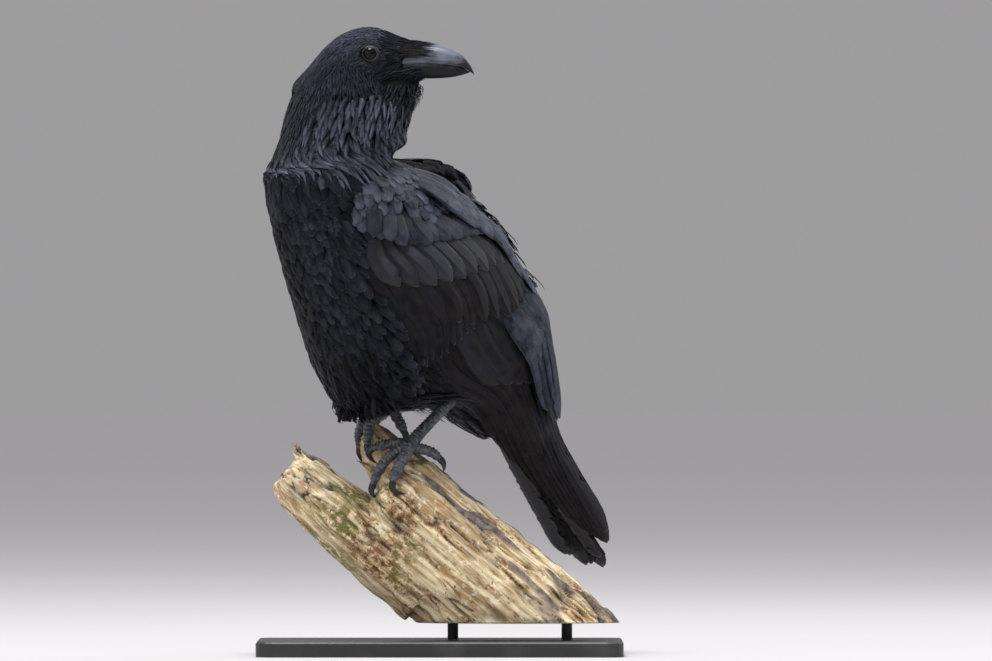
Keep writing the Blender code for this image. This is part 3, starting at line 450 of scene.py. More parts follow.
TORSO = Form([body_section(*row) for row in (
    (-0.066, 0.000, 0.018, 0.020, 0.022, 0),
    (-0.045, 0.000, 0.034, 0.034, 0.034, -12),
    (-0.020, 0.000, 0.052, 0.052, 0.044, -20),
    (0.008, -0.008, 0.068, 0.086, 0.058, -14),
    (0.040, -0.012, 0.080, 0.106, 0.068, -4),
    (0.095, -0.010, 0.088, 0.111, 0.074, -3),
    (0.150, -0.008, 0.076, 0.092, 0.072, -9),
    (0.185, -0.005, 0.065, 0.082, 0.064, -17),
    (0.212, -0.004, 0.057, 0.070, 0.059, -24),
    (0.236, -0.002, 0.050, 0.057, 0.053, -30),
)])
NECK = Form([
    collar_section(-0.12, 0.205, 0.0630, 0.0765, 0.0635, -22),
    collar_section(0.00, 0.222, 0.0600, 0.0685, 0.0605, -27),
    collar_section(0.12, 0.242, 0.0590, 0.0570, 0.0565, -31),
    level_section(0.40, (-0.0955, -0.0420, 0.4640), (0.0600, 0.0120, 0.0100), (0.0050, -0.0560, 0.0)),
    level_section(0.60, (-0.0902, -0.0430, 0.4820), (0.0565, 0.0, 0.0020), (0.0, -0.0530, 0.0)),
    round_section(0.80, -0.0846, -0.0440, 0.5050, 0.0560, 0.0480),
    round_section(0.95, -0.0800, -0.0440, 0.5220, 0.0530, 0.0410),
    round_section(1.10, -0.0800, -0.0440, 0.5300, 0.0320, 0.0300),
])
HEAD = Form([head_section(*row) for row in (
    (-0.1345, 0.5320, 0.5170, 0.0100),
    (-0.1290, 0.5375, 0.5080, 0.0210),
    (-0.1200, 0.5470, 0.5020, 0.0300),
    (-0.1060, 0.5635, 0.4990, 0.0370),
    (-0.0930, 0.5745, 0.5000, 0.0375),
    (-0.0800, 0.5805, 0.5060, 0.0355),
    (-0.0680, 0.5828, 0.5130, 0.0325),
    (-0.0560, 0.5815, 0.5200, 0.0275),
    (-0.0480, 0.5778, 0.5260, 0.0218),
    (-0.0420, 0.5748, 0.5300, 0.0176),
    (-0.0350, 0.5722, 0.5322, 0.0147),
    (-0.0260, 0.5698, 0.5340, 0.0118),
    (-0.0120, 0.5676, 0.5352, 0.0092),
    (0.0000, 0.5655, 0.5358, 0.0078),
)])
CHEEK = Form([round_section(*row) for row in (
    (0.00, -0.0880, -0.0430, 0.5540, 0.0270, 0.0345),
    (0.30, -0.0870, -0.0430, 0.5400, 0.0378, 0.0380),
    (0.60, -0.0865, -0.0435, 0.5270, 0.0445, 0.0425),
    (1.00, -0.0850, -0.0440, 0.5080, 0.0550, 0.0475),
)])
CHIN = Form([round_section(*row) for row in (
    (0.00, -0.0480, -0.0480, 0.5350, 0.0330, 0.0170),
    (0.20, -0.0540, -0.0475, 0.5270, 0.0370, 0.0270),
    (0.45, -0.0600, -0.0465, 0.5160, 0.0385, 0.0340),
    (0.75, -0.0680, -0.0450, 0.5020, 0.0395, 0.0400),
    (1.00, -0.0740, -0.0440, 0.4880, 0.0410, 0.0440),
)])
WING = Form([body_section(*row) for row in (
    (-0.225, -0.002, 0.012, 0.014, 0.006, 0),
    (-0.190, -0.002, 0.020, 0.030, 0.010, 0),
    (-0.140, -0.002, 0.028, 0.035, 0.018, 0),
    (-0.100, 0.000, 0.034, 0.041, 0.030, 0),
    (-0.065, 0.002, 0.050, 0.050, 0.046, 0),
    (-0.030, 0.004, 0.069, 0.060, 0.062, 0),
    (0.000, 0.002, 0.086, 0.074, 0.075, 0),
    (0.040, -0.004, 0.095, 0.098, 0.084, 0),
    (0.095, -0.010, 0.103, 0.114, 0.088, 0),
    (0.150, -0.008, 0.088, 0.098, 0.086, -5),
    (0.185, -0.005, 0.076, 0.088, 0.080, -9),
    (0.212, -0.004, 0.064, 0.078, 0.072, -12),
    (0.232, -0.004, 0.052, 0.062, 0.060, -14),
)])
# The folded wing's lower and upper edges, in degrees up from the flank. The right wing is carried higher.
WING_LOW = {
    1: ((-0.225, -60), (-0.190, -64), (-0.140, -59), (-0.100, -60), (-0.050, -55), (-0.010, -52),
        (0.010, -54), (0.060, -45), (0.090, -35), (0.140, -37), (0.175, -40), (0.205, -24), (0.232, -6)),
    -1: ((-0.225, 34), (-0.140, 28), (-0.050, 20), (0.010, -6), (0.060, -34), (0.090, -36), (0.140, -37),
         (0.175, -40), (0.205, -24), (0.232, -6)),
}
WING_HIGH = ((-0.225, 76), (-0.140, 84), (-0.060, 88), (0.080, 89), (0.150, 86), (0.200, 78), (0.232, 64))
WING_SHIFT = ((-0.225, 0.033), (-0.190, 0.031), (-0.140, 0.0222), (-0.100, 0.013), (-0.065, 0.007),
              (-0.020, 0.0))
RIGHT_RAISE = 0.036
RAISE_MIDDLE = 0.165
RAISE_REACH = 0.045
MIDLINE_MARGIN = 0.0010
ARM_STOPS = (0.010, 0.045, 0.080, 0.110, 0.140, 0.168, 0.192, 0.212, 0.226)
ARM_DEPTH = 0.016
# The tail's fleshy root: the place along the spine, half the width, half the depth and the middle's height
TAIL_STUMP = (
    (-0.050, 0.0215, 0.0180, 0.0),
    (-0.066, 0.0195, 0.0160, -0.001),
    (-0.080, 0.0180, 0.0130, -0.003),
    (-0.100, 0.0150, 0.0085, -0.004),
    (-0.122, 0.0100, 0.0040, -0.004),
)


def wing_point(t, q, lift, side, raised=True):
    """The folded wing's points at t along it, and q across it from its lower edge to its upper edge."""
    t, q, lift = np.broadcast_arrays(t, q, lift)
    low = curve(*zip(*WING_LOW[side]), t)
    high = curve(*zip(*WING_HIGH), t)
    angle = np.radians(low + (high - low) * q)
    flank = np.linalg.norm(WING.parts(t)[2], axis=-1)
    if side < 0 and raised:
        rise = rising(q, 0.30, 0.50)
        swell = np.exp(-(((t - RAISE_MIDDLE) / RAISE_REACH) ** 2))
        lift = lift + RIGHT_RAISE * swell * rise * rise * (3 - 2 * rise)
    at = WING.point(t, np.minimum(angle, np.arccos(np.minimum(MIDLINE_MARGIN / flank, 1))), lift, side)
    return at + LEFT * side * curve(*zip(*WING_SHIFT), t)[..., None]


def swept(form, count, lift):
    """Points and faces of a closed solid through a form's sections."""
    stops = np.linspace(form.at[0], form.at[-1], 40)
    return closed_rings(form.point(stops[:, None], all_round(count)[None, :], lift))


def closed_rings(rings):
    """Points and faces of a closed skin over rings of points."""
    levels, count = rings.shape[:2]
    points = list(rings.reshape(-1, 3)) + [rings[0].mean(axis=0), rings[-1].mean(axis=0)]
    faces = []
    for r in range(levels - 1):
        for k in range(count):
            a, b = r * count + k, r * count + (k + 1) % count
            faces.append((a, b, b + count, a + count))
    for ring, centre in ((0, levels * count), (levels - 1, levels * count + 1)):
        for k in range(count):
            faces.append((ring * count + k, ring * count + (k + 1) % count, centre))
    return points, faces


def arm(side):
    """The folded arm under the wing's feathers."""
    across = np.linspace(0, 1, 16)
    stops = np.array(ARM_STOPS)
    depth = np.interp(stops, (0.070, 0.130), (-0.0105, -0.0022))[:, None]
    outer = wing_point(stops[:, None], across[None, :], depth, side)
    inner = wing_point(stops[:, None], across[None, ::-1], -ARM_DEPTH, side, False)
    return closed_rings(np.concatenate([outer, inner], axis=1))


def dark_skin():
    """The bare dark skin and the down between the feathers."""
    look = Look("skin", 0.8)
    down = look.noise(look.place(), 700.0, 4.0, 0.7)
    colour = look.mix(down, (0.0018, 0.0018, 0.0022, 1), (0.006, 0.006, 0.0075, 1))
    look.feed(Base_Color=colour, Normal=look.bump(down, 0.0008, 0.9), Specular_IOR_Level=0.12)
    return look.material


def tail_root():
    rings = [
        [body_point(t, half * math.cos(a), middle + thick * math.sin(a)) for a in all_round(20)]
        for t, half, thick, middle in TAIL_STUMP
    ]
    return closed_rings(np.array(rings))


def build_skin():
    """The skin lies inside each form by its own share of the plumage's depth."""
    depths = ((TORSO, 48, 1.0), (NECK, 48, 1.6), (HEAD, 48, 0.6), (CHIN, 40, 1.4), (CHEEK, 40, 1.2))
    parts = [swept(form, count, -SKIN_DEPTH * share) for form, count, share in depths]
    points, faces = [], []
    for more, ends in parts + [arm(1), arm(-1), tail_root()]:
        faces += [tuple(len(points) + k for k in face) for face in ends]
        points += more
    skin = mesh_object("skin", points, faces, dark_skin())
    remeshed(skin, SKIN_CELL)
    skin.data.materials.append(bpy.data.materials["skin"])
    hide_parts("head", "neck", "torso", "tail", "wing_left", "wing_right")
    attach(skin, "root")


build_skin()

# Every feather is a thin closed vane, rooted in the skin and lying back over the next. The plumage is black
# with a blue gloss painted into its colour as a painted sheen, strongest towards each feather's tip, with
# painted shade towards its covered root, brown where it is worn, and paler along some edges, part wear and
# part painted highlight.
BLACK = (0.0038, 0.0040, 0.0052, 1)
# A blue sheen painted into the colour
PAINTED_SHEEN_BLUE = (0.110, 0.128, 0.190, 1)
WORN_BROWN = (0.026, 0.019, 0.0145, 1)
# Pale rims, part wear and part painted highlight
PALE_RIM_AND_HIGHLIGHT = (0.240, 0.270, 0.350, 1)
SKY_TINT = (0.70, 0.78, 1.0, 1)
MOST_TRIANGLES = 190000
BARB_PITCH = 0.00055
BARB_SLANT = 1.1
BARB_RELIEF = 0.00012
ROOT_BEND = 3.0
# The least metres that one step of a form's coordinates may stand for
LEAST_PER_U = 0.05
LEAST_PER_V = 0.004
RIDGE_HEIGHT = 0.00022
TORN_DEPTH = 0.45
PATCH_SIZE = 0.003


def barb_group():
    """The barbs of a vane: fine slanting lines on both sides of the shaft, as a height."""
    group = bpy.data.node_groups.new("barbs", "ShaderNodeTree")
    for name, way in (("Across", "INPUT"), ("Along", "INPUT"), ("Pitch", "INPUT"), ("Height", "OUTPUT")):
        group.interface.new_socket(name, in_out=way, socket_type="NodeSocketFloat")
    given = group.nodes.new("NodeGroupInput")
    result = group.nodes.new("NodeGroupOutput")
    inside = Nodes(group)
    slant = inside.times(inside.math("ABSOLUTE", given.outputs["Across"]), BARB_SLANT)
    along = inside.math("SUBTRACT", given.outputs["Along"], slant)
    turns = inside.times(inside.math("DIVIDE", along, given.outputs["Pitch"]), FULL_TURN)
    group.links.new(inside.math("SINE", turns), result.inputs["Height"])
    return group


barbs = barb_group()


def plumage(name, roughness, gloss, variety, pitch=BARB_PITCH, relief=BARB_RELIEF, rim_from=0.70,
            lightest=0.020, lit_along=(0.35, 0.95)):
    """A feather material. The mesh gives each point its place on the vane and how near it is to the rim
    and the tip, and each feather its chance, and how pale at the rim, how much painted blue sheen and how
    brown it is. Along each vane, painted shade at the covered root gives way to painted light towards the
    tip."""
    look = Look(name, roughness)
    vane = look.node("SeparateXYZ", {0: look.node("UVMap", uv_map="vane").outputs[0]})
    tone = look.node("Attribute", attribute_name="tone")
    shares = look.node("SeparateColor", {0: tone.outputs["Color"]})
    chance, pale, sheen = shares.outputs[0], shares.outputs[1], shares.outputs[2]
    rim = look.named("rim")
    # Painted shade on each feather's covered root, giving way to painted light towards its tip
    lit = look.ramp(look.named("tip"), *lit_along)
    mottle = look.noise(look.place(), 90.0, 5.0, 0.65)
    fine = look.times(vane.outputs[1], 1 / pitch)
    streaks = look.node("TexNoise", {"W": fine, "Scale": 0.7, "Detail": 2.0}, noise_dimensions="1D")
    streak = streaks.outputs["Fac"]
    # A few feathers are faded
    faded = (lightest, lightest * 1.05, lightest * 1.30, 1)
    colour = look.mix(look.times(look.math("POWER", chance, 3.0), variety), BLACK, faded)
    # The painted sheen is stronger on some feathers, and towards each feather's tip
    painted_sheen = look.times(sheen, look.plus(look.times(chance, 0.9), 0.45))
    painted_sheen = look.times(painted_sheen, look.ramp(mottle, 0.30, 0.62))
    painted_sheen = look.times(painted_sheen, look.plus(look.times(lit, 0.8), 0.2))
    colour = look.mix(painted_sheen, colour, PAINTED_SHEEN_BLUE)
    worn = look.ramp(look.plus(mottle, look.times(rim, 0.25)), 0.42, 0.80)
    colour = look.mix(look.times(tone.outputs["Alpha"], worn), colour, WORN_BROWN)
    # Pale rims towards the tip, part wear and part painted highlight
    edge = look.times(look.times(look.ramp(rim, rim_from, 1.0), lit), pale)
    colour = look.mix(look.times(edge, look.ramp(streak, 0.25, 0.65)), colour, PALE_RIM_AND_HIGHLIGHT)
    lines = look.node("Group", {"Across": vane.outputs[0], "Along": vane.outputs[1], "Pitch": pitch},
                      node_tree=barbs)
    height = look.plus(lines.outputs[0], streak)
    shine = look.spread(mottle, roughness - 0.06, roughness + 0.10, 0.3, 0.7)
    look.feed(Base_Color=colour, Roughness=shine, Normal=look.bump(height, relief, 0.7))
    look.feed(Specular_IOR_Level=gloss, Specular_Tint=SKY_TINT)
    return look.material


# Outlines of a vane: how far along it, and how wide there
BODY_VANE = ((0.0, 0.45), (0.25, 0.86), (0.52, 1.0), (0.78, 0.88), (0.93, 0.56), (1.0, 0.16))
HACKLE = ((0.0, 0.60), (0.18, 0.95), (0.38, 1.0), (0.58, 0.80), (0.80, 0.44), (1.0, 0.04))
STRAND = ((0.0, 0.90), (0.40, 1.0), (0.75, 0.70), (1.0, 0.10))
# Lines along a vane, from one edge to the other
THREE_COLUMNS = (-1.0, 0.0, 1.0)
VANE_COLUMNS = (-1.0, -0.62, -0.07, 0.0, 0.07, 0.62, 1.0)


def flight_outline(rows, tip_start=0.86, blunt=0.55):
    """A long vane of even width with a rounded tip."""
    along = np.concatenate([np.linspace(0, tip_start, rows - 6), np.linspace(tip_start, 1, 7)[1:]])
    wide = 0.62 + 0.38 * np.clip(along / 0.35, 0, 1) ** 0.7
    end = rising(along, tip_start, 1 - tip_start)
    return tuple(zip(along, wide * (1 - (1 - 0.10) * end ** (2 / blunt))))


class Coat:
    """Feathers gathered for one region of the body, then made into meshes. The ranges are those of the
    roots' two coordinates on their form, and place each feather's patch in the map for baking."""

    def __init__(self, name, material, u_range, v_range, seed):
        self.name, self.material = name, material
        self.u_range, self.v_range = u_range, v_range
        self.draw = np.random.default_rng(seed)
        self.batches = []

    def scattered(self, u_range, v_range, count):
        """Roots at random within these ranges."""
        return np.stack([self.draw.uniform(*u_range, count), self.draw.uniform(*v_range, count)], axis=1)

    def rows_over(self, place, u_range, v_range, pitch, spread=0.30):
        """Roots in staggered rows over a part of a form, evenly spaced on its surface."""
        u = np.linspace(*u_range, 60)
        probes = np.linspace(v_range[0], v_range[1], 7)
        lines = place(u[:, None], probes[None, :], 0.0)
        run = np.linalg.norm(np.diff(lines, axis=0), axis=2).mean(axis=1)
        run = np.concatenate([[0], np.cumsum(run)])
        count = max(int(run[-1] / pitch[0]), 1)
        found = []
        for k in range(count + 1):
            row = np.interp(run[-1] * k / count, run, u)
            v = np.linspace(*v_range, 90)
            ring = place(np.full(90, row), v, 0.0)
            round_it = np.concatenate([[0], np.cumsum(np.linalg.norm(np.diff(ring, axis=0), axis=1))])
            here = max(int(round_it[-1] / pitch[1]), 1)
            at = (np.arange(here) + 0.25 + 0.5 * (k % 2) + self.draw.uniform(-spread, spread, here)) / here
            shake = self.draw.uniform(-spread, spread, here) * pitch[0]
            slope = np.interp(row, u[1:], np.diff(u) / np.maximum(np.diff(run), 1e-9))
            ahead = np.clip(row + shake * slope, min(u_range), max(u_range))
            found.append(np.stack([ahead, np.interp(at * round_it[-1], round_it, v)], axis=1))
        return np.concatenate(found)

    def lay(self, place, roots, length, width, outline, lifts, thickness, tone, turn=0.0, flow=-1.0,
            tilt=0.0, camber=0.12, shaft=0.0, columns=THREE_COLUMNS, rag=0.0, splits=0.0, vary=0.14,
            wander=0.10, tips=None, clearance=((0, 0, 0), 0.0)):
        """Lays a feather at each root. Lifts are the heights of its root and its tip off the form, and tone
        is how pale at the rim, how much painted blue sheen and how brown it is. It runs down or up the form's
        first coordinate, by flow, and turn bends it off that way, unless its tip is given. Tilt, camber and
        shaft shape its section, and rag and splits fray it. None is rooted inside the clearance, a centre and
        a radius."""
        many, draw = len(roots), self.draw
        length = np.broadcast_to(length, many) * (1 + draw.uniform(-vary, vary, many))
        width = np.broadcast_to(width, many) * (1 + draw.uniform(-vary, vary, many) * 0.7)
        turn = np.broadcast_to(turn, many) + draw.uniform(-wander, wander, many)
        u, v = roots[:, 0], roots[:, 1]
        if tips is None:
            base = place(u, v, 0.0)
            per_u = np.linalg.norm((place(u + flow * STEP, v, 0.0) - base) / STEP, axis=1)
            per_v = np.linalg.norm((place(u, v + STEP, 0.0) - base) / STEP, axis=1)
            tip_u = u + flow * length * np.cos(turn) / np.maximum(per_u, LEAST_PER_U)
            tip_v = v + length * np.sin(turn) / np.maximum(per_v, LEAST_PER_V)
        else:
            tip_u, tip_v = tips[:, 0], tips[:, 1]
        # The shaft's line, and the ways outward and across at each row
        along, wide = np.array(outline).T
        low, high = np.broadcast_to(lifts[0], many), np.broadcast_to(lifts[1], many)
        high = high + draw.uniform(-0.22, 0.22, many) * (high - low)
        lift = high[:, None] + (low - high)[:, None] * (1 - along) ** ROOT_BEND
        uu = u[:, None] + (tip_u - u)[:, None] * along
        vv = v[:, None] + (tip_v - v)[:, None] * along
        spine = place(uu, vv, lift)
        outward = unit(np.cross(place(uu + STEP, vv, lift) - spine, place(uu, vv + STEP, lift) - spine))
        facing = np.sign(np.sum(outward * (place(uu, vv, lift + STEP) - spine), axis=2, keepdims=True))
        outward = outward * np.where(facing == 0, 1, facing)
        ahead = unit(np.gradient(spine, axis=1))
        across = unit(np.cross(ahead, outward))
        outward = unit(np.cross(across, ahead))
        # The vane: columns across each row, frayed and split towards the edges
        columns = np.array(columns)
        half = 0.5 * width[:, None] * wide
        sides = half[:, :, None] * (columns + shaft * (1 - np.abs(columns)))
        torn = 1 + rag * draw.uniform(-1, 1, sides.shape) * np.abs(columns) * (along[None, :, None] > 0.3)
        if splits > 0:
            cut = draw.uniform(0, 1, sides.shape) < splits
            cut &= (np.abs(columns) > 0.9) & (along[None, :, None] > 0.35)
            torn = np.where(cut, torn * TORN_DEPTH, torn)
        sides = sides * torn
        arch = camber * half[:, :, None] * (1 - columns**2) + tilt * sides
        ridge = RIDGE_HEIGHT * (np.abs(columns) < 0.01) * (len(columns) > 3)
        thick = thickness * (1 - 0.75 * np.abs(columns)) * np.maximum(1 - along, 0.25)[None, :, None] ** 0.5
        flat = spine[:, :, None] + across[:, :, None] * sides[..., None]
        top = flat + outward[:, :, None] * (arch + thick / 2 + ridge)[..., None]
        under = flat + outward[:, :, None] * (arch - thick / 2)[..., None]
        ring = np.concatenate([top, under[:, :, -2:0:-1]], axis=2)
        # What the material reads: nearness to rim and tip, place on the vane, and tones
        rim = np.maximum(np.abs(columns)[None, :], rising(along[:, None], 0.80, 0.20))
        rim = np.concatenate([rim, rim[:, -2:0:-1]], axis=1)
        far = np.concatenate([sides, sides[:, :, -2:0:-1]], axis=2)
        reach = np.broadcast_to((along * length[:, None])[:, :, None], far.shape)
        tip = np.broadcast_to(along[None, :, None], far.shape)
        edges = np.stack([np.broadcast_to(rim, far.shape), tip], axis=3)
        vane = np.stack([far, reach], axis=3)
        chance = draw.uniform(0, 1, many)
        tones = np.stack([chance] + [np.broadcast_to(share, many) for share in tone], axis=1)
        centre, radius = clearance
        keep = np.linalg.norm(spine[:, 0] - centre, axis=1) > radius
        self.batches.append([part[keep] for part in (ring, edges, vane, tones, roots)])

    def build(self):
        """Makes the meshes, each under MOST_TRIANGLES triangles."""
        pieces, room, group = [], 0, []
        for batch in self.batches:
            many, rows, ring = batch[0].shape[:3]
            each = 2 * ring * (rows - 1) + 2 * (ring - 2)
            start = 0
            while start < many:
                fit = min(many - start, max((MOST_TRIANGLES - room) // each, 0))
                if fit == 0:
                    pieces.append(group)
                    group, room = [], 0
                    continue
                group.append([part[start:start + fit] for part in batch])
                room += fit * each
                start += fit
        pieces.append(group)
        for k, group in enumerate(pieces):
            self.make(self.name if len(pieces) == 1 else f"{self.name}_{k + 1}", group)

    def make(self, name, group):
        """Makes one mesh of closed vanes."""
        points, quads, edges, vanes, tones, patches = [], [], [], [], [], []
        start = 0
        for ring, edge, vane, tone, roots in group:
            many, rows, count = ring.shape[:3]
            index = np.arange(many * rows * count).reshape(many, rows, count) + start
            start += many * rows * count
            after = np.roll(index, -1, axis=2)
            walls = np.stack([index[:, :-1], after[:, :-1], after[:, 1:], index[:, 1:]], axis=3)
            quads.append(walls.reshape(-1, 4))
            # Strips between the upper and the lower face close both ends
            for row, way in ((0, -1), (rows - 1, 1)):
                for k in range(count // 2):
                    corners = [index[:, row, i % count] for i in (k, k + 1, count - k - 1, count - k)]
                    quads.append(np.stack(corners[::way], axis=1))
            points.append(ring.reshape(-1, 3))
            edges.append(edge.reshape(-1, 2))
            vanes.append(vane.reshape(-1, 2))
            tones.append(np.repeat(tone, rows * count, axis=0))
            spans = (np.ptp(self.u_range), np.ptp(self.v_range))
            spot = (roots - (self.u_range[0], self.v_range[0])) / spans
            spot = 0.01 + 0.97 * (spot % 1.0)
            cell = np.stack(np.meshgrid(np.arange(count) / count, np.arange(rows) / rows), axis=2)
            patches.append((spot[:, None, None] + PATCH_SIZE * cell).reshape(-1, 2))
        # A strip's first and last quads have a corner twice, so they are triangles
        faces = [tuple(dict.fromkeys(quad)) for quad in np.concatenate(quads).tolist()]
        mesh = bpy.data.meshes.new(name)
        mesh.from_pydata(np.concatenate(points), [], faces)
        mesh.shade_smooth()
        loops = np.empty(len(mesh.loops), np.int32)
        mesh.loops.foreach_get("vertex_index", loops)
        for layer, values in (("OFBake", patches), ("vane", vanes)):
            made = mesh.uv_layers.new(name=layer)
            made.uv.foreach_set("vector", np.concatenate(values)[loops].astype(np.float32).ravel())
        for layer, values in zip(("rim", "tip"), np.concatenate(edges).T):
            keep_on_points(mesh, layer, np.ascontiguousarray(values))
        tones = np.concatenate(tones).ravel()
        mesh.attributes.new("tone", "FLOAT_COLOR", "POINT").data.foreach_set("color", tones)
        mesh.materials.append(self.material)
        piece = bpy.data.objects.new(name, mesh)
        bpy.context.scene.collection.objects.link(piece)
        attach(piece, "root")


soft_black = plumage("body_feathers", 0.52, 0.14, 0.6)
velvet = plumage("head_feathers", 0.46, 0.30, 0.8)
hackle_gloss = plumage("hackle_feathers", 0.32, 0.40, 0.7, rim_from=0.20, lightest=0.060,
                       lit_along=(0.42, 0.86))
glossy = plumage("glossy_feathers", 0.32, 0.40, 0.9, rim_from=0.86, lightest=0.030, lit_along=(0.30, 0.90))
flight_black = plumage("flight_feathers", 0.46, 0.12, 0.6, 0.0009, 0.00016, rim_from=0.90,
                       lit_along=(0.0, 0.4))

# The breast, belly and back: overlapping rounded feathers, loose at their ends, with pale fringes, part wear
# and part painted highlight, and a painted sheen on the breast's side towards the camera, and a ragged fringe
# under the belly. The mantle between the wings, which faces up, is black with a painted blue sheen.
body_coat = Coat("coat_breast", soft_black, (-0.07, 0.24), (0, FULL_TURN), 11)
roots = body_coat.rows_over(TORSO.point, (-0.050, 0.236), np.radians((162, 392)), (0.0050, 0.0056))
high_up = rising(roots[:, 0], 0.075, 0.09)
# The side towards the camera takes pale rims and a painted sheen
side_on = np.clip(np.cos(roots[:, 1] - math.radians(345)) * 1.3 - 0.3, 0, 1) * high_up
body_coat.lay(TORSO.point, roots, 0.022 - 0.004 * high_up, 0.0105, BODY_VANE, (-0.0026, 0.0016), 0.0005,
              rag=0.22, tilt=0.05, tone=(0.06 + 0.48 * side_on, 0.01 + 0.50 * side_on, 0.20), splits=0.16,
              wander=0.16)
# The mantle, which faces up, takes a painted blue sheen
roots = body_coat.rows_over(TORSO.point, (-0.056, 0.236), np.radians((30, 150)), (0.0085, 0.0095))
body_coat.lay(TORSO.point, roots, 0.027, 0.0165, BODY_VANE, (-0.0026, 0.0022), 0.0006, rag=0.12, tilt=0.08,
              tone=(0.20, 0.75, 0.10), splits=0.08)
# Long loose feathers under the belly and round the thighs
roots = body_coat.rows_over(TORSO.point, (-0.012, 0.110), np.radians((205, 318)), (0.0066, 0.0060))
hang = rising(roots[:, 0], 0.095, -0.07)
body_coat.lay(TORSO.point, roots, 0.026 + 0.010 * hang, 0.0068, HACKLE, (-0.0020, 0.0030 + 0.0065 * hang),
              0.0004, rag=0.25, wander=0.30, tone=(0.10 + 0.5 * (hang > 0.9), 0.04, 0.30), splits=0.25)
roots = body_coat.scattered((-0.015, 0.060), np.radians((238, 312)), 190)
pale = body_coat.draw.uniform(0.0, 1.0, 190) ** 3
body_coat.lay(TORSO.point, roots, 0.036, 0.0046, HACKLE, (-0.0020, 0.0175), 0.0004, wander=0.45, vary=0.35,
              tone=(0.10 + 0.9 * pale, 0.05 + 0.5 * pale, 0.30), splits=0.25)
# Breast feathers lap over the front edge of each folded wing
for side in (1, -1):
    along = np.repeat(np.linspace(0.030, 0.220, 40), 4) + body_coat.draw.uniform(-0.003, 0.003, 160)
    short = np.tile((0.0, 5.0, 10.0, 15.0), 40) + body_coat.draw.uniform(-1.5, 1.5, 160)
    edge = curve(*zip(*WING_LOW[side]), along) - short
    roots = np.stack([along, np.radians(edge if side > 0 else 180 - edge)], axis=1)
    step_out = (0.0125 if side > 0 else 0.0040) * np.clip((19.0 - short) / 13.0, 0.1, 1)
    body_coat.lay(TORSO.point, roots, 0.027, 0.0105, BODY_VANE, (-0.0030, step_out), 0.0005, rag=0.20,
                  turn=0.20 * side, tilt=0.04, tone=(0.27, 0.20, 0.25), splits=0.16, wander=0.16)
# Loose feather ends along the ridge of the back
roots = body_coat.scattered((0.040, 0.190), np.radians((62, 108)), 60)
body_coat.lay(TORSO.point, roots, 0.034, 0.0125, BODY_VANE, (-0.0020, 0.0120), 0.0005, rag=0.25, wander=0.35,
              tone=(0.40, 0.60, 0.15), splits=0.25, tilt=0.05)
body_coat.build()

# The neck: narrow pointed hackles in tiers over the throat and down to the breast, with a blue and violet
# painted sheen and paler middles, and shorter, closer feathers on the nape. A second, longer tier makes the
# collar.


def round_from_throat(angle):
    """The angle round the neck, from -pi to pi, with 0 on the bird's left side."""
    return (angle + math.pi) % FULL_TURN - math.pi


# Low on the neck the breast's own feathers begin
low_neck = Coat("coat_low_neck", soft_black, (-0.14, 1.12), (0, FULL_TURN), 17)
roots = low_neck.rows_over(NECK.point, (-0.08, 0.34), (0, FULL_TURN), (0.0052, 0.0056))
low_neck.lay(NECK.point, roots, 0.021, 0.0105, BODY_VANE, (-0.0030, 0.0010), 0.0005, rag=0.20, tilt=0.05,
             tone=(0.22, 0.14, 0.20), splits=0.16, wander=0.16)
low_neck.build()
# The nape's short dark feathers, and the hackles in front of them
neck_coat = Coat("coat_neck", hackle_gloss, (-0.14, 1.12), (0, FULL_TURN), 12)
roots = neck_coat.rows_over(NECK.point, (0.36, 0.94), (0, FULL_TURN), (0.0052, 0.0054))
turned = round_from_throat(roots[:, 1])
nape_edge = np.radians(np.interp(roots[:, 0], (0.36, 0.62, 0.94), (-78, -40, -28)))
on_nape = (turned < nape_edge) & (turned > math.radians(-165))
nape, hackles = roots[on_nape], roots[~on_nape]
nape_coat = Coat("coat_nape", velvet, (0.0, 1.0), (0, FULL_TURN), 16)
nape_coat.lay(NECK.point, nape, 0.0190, 0.0060, BODY_VANE, (-0.0026, 0.0010), 0.0004, rag=0.20, tilt=0.02,
              tone=(0.10, 0.16, 0.05), splits=0.15, camber=0.06)
nape = nape_coat.rows_over(NECK.point, (0.40, 1.00), np.radians((-165, -30)), (0.0038, 0.0034))
nape_coat.lay(NECK.point, nape, 0.0170, 0.0040, STRAND, (-0.0010, 0.0017), 0.0003, wander=0.16, camber=0.05,
              tone=(0.12, 0.20, 0.05))
# Strands over the cheek end at a ragged edge
roots = nape_coat.rows_over(CHEEK.point, (0.02, 0.98), (0, FULL_TURN), (0.0026, 0.0024))
turned = np.degrees(round_from_throat(roots[:, 1]))
lowest = np.interp(turned, (-180, -150, -60, -35, 0, 60, 180), (0.98, 0.98, 0.98, 0.82, 0.60, 0.55, 0.95))
kept = roots[:, 0] < lowest + nape_coat.draw.uniform(-0.20, 0.20, len(roots))
nape_coat.lay(CHEEK.point, roots[kept], 0.0125, 0.0031, STRAND, (-0.0016, 0.0005), 0.0003, flow=1.0,
              wander=0.16, camber=0.06, tone=(0.10, 0.20, 0.05))
nape_coat.build()
# A painted sheen on each hackle, at random, and less high on the neck under the head
bright = neck_coat.draw.uniform(0.0, 1.0, len(hackles)) ** 1.5
bright *= np.clip((0.97 - hackles[:, 0]) / 0.18, 0.1, 1)
neck_coat.lay(NECK.point, hackles, 0.023, 0.0066, HACKLE, (-0.0036, 0.0024), 0.0006, rag=0.16, tilt=0.10,
              tone=(0.28 + 0.72 * bright, 0.60 + 0.40 * bright, 0.0), wander=0.30, camber=0.14, vary=0.25)
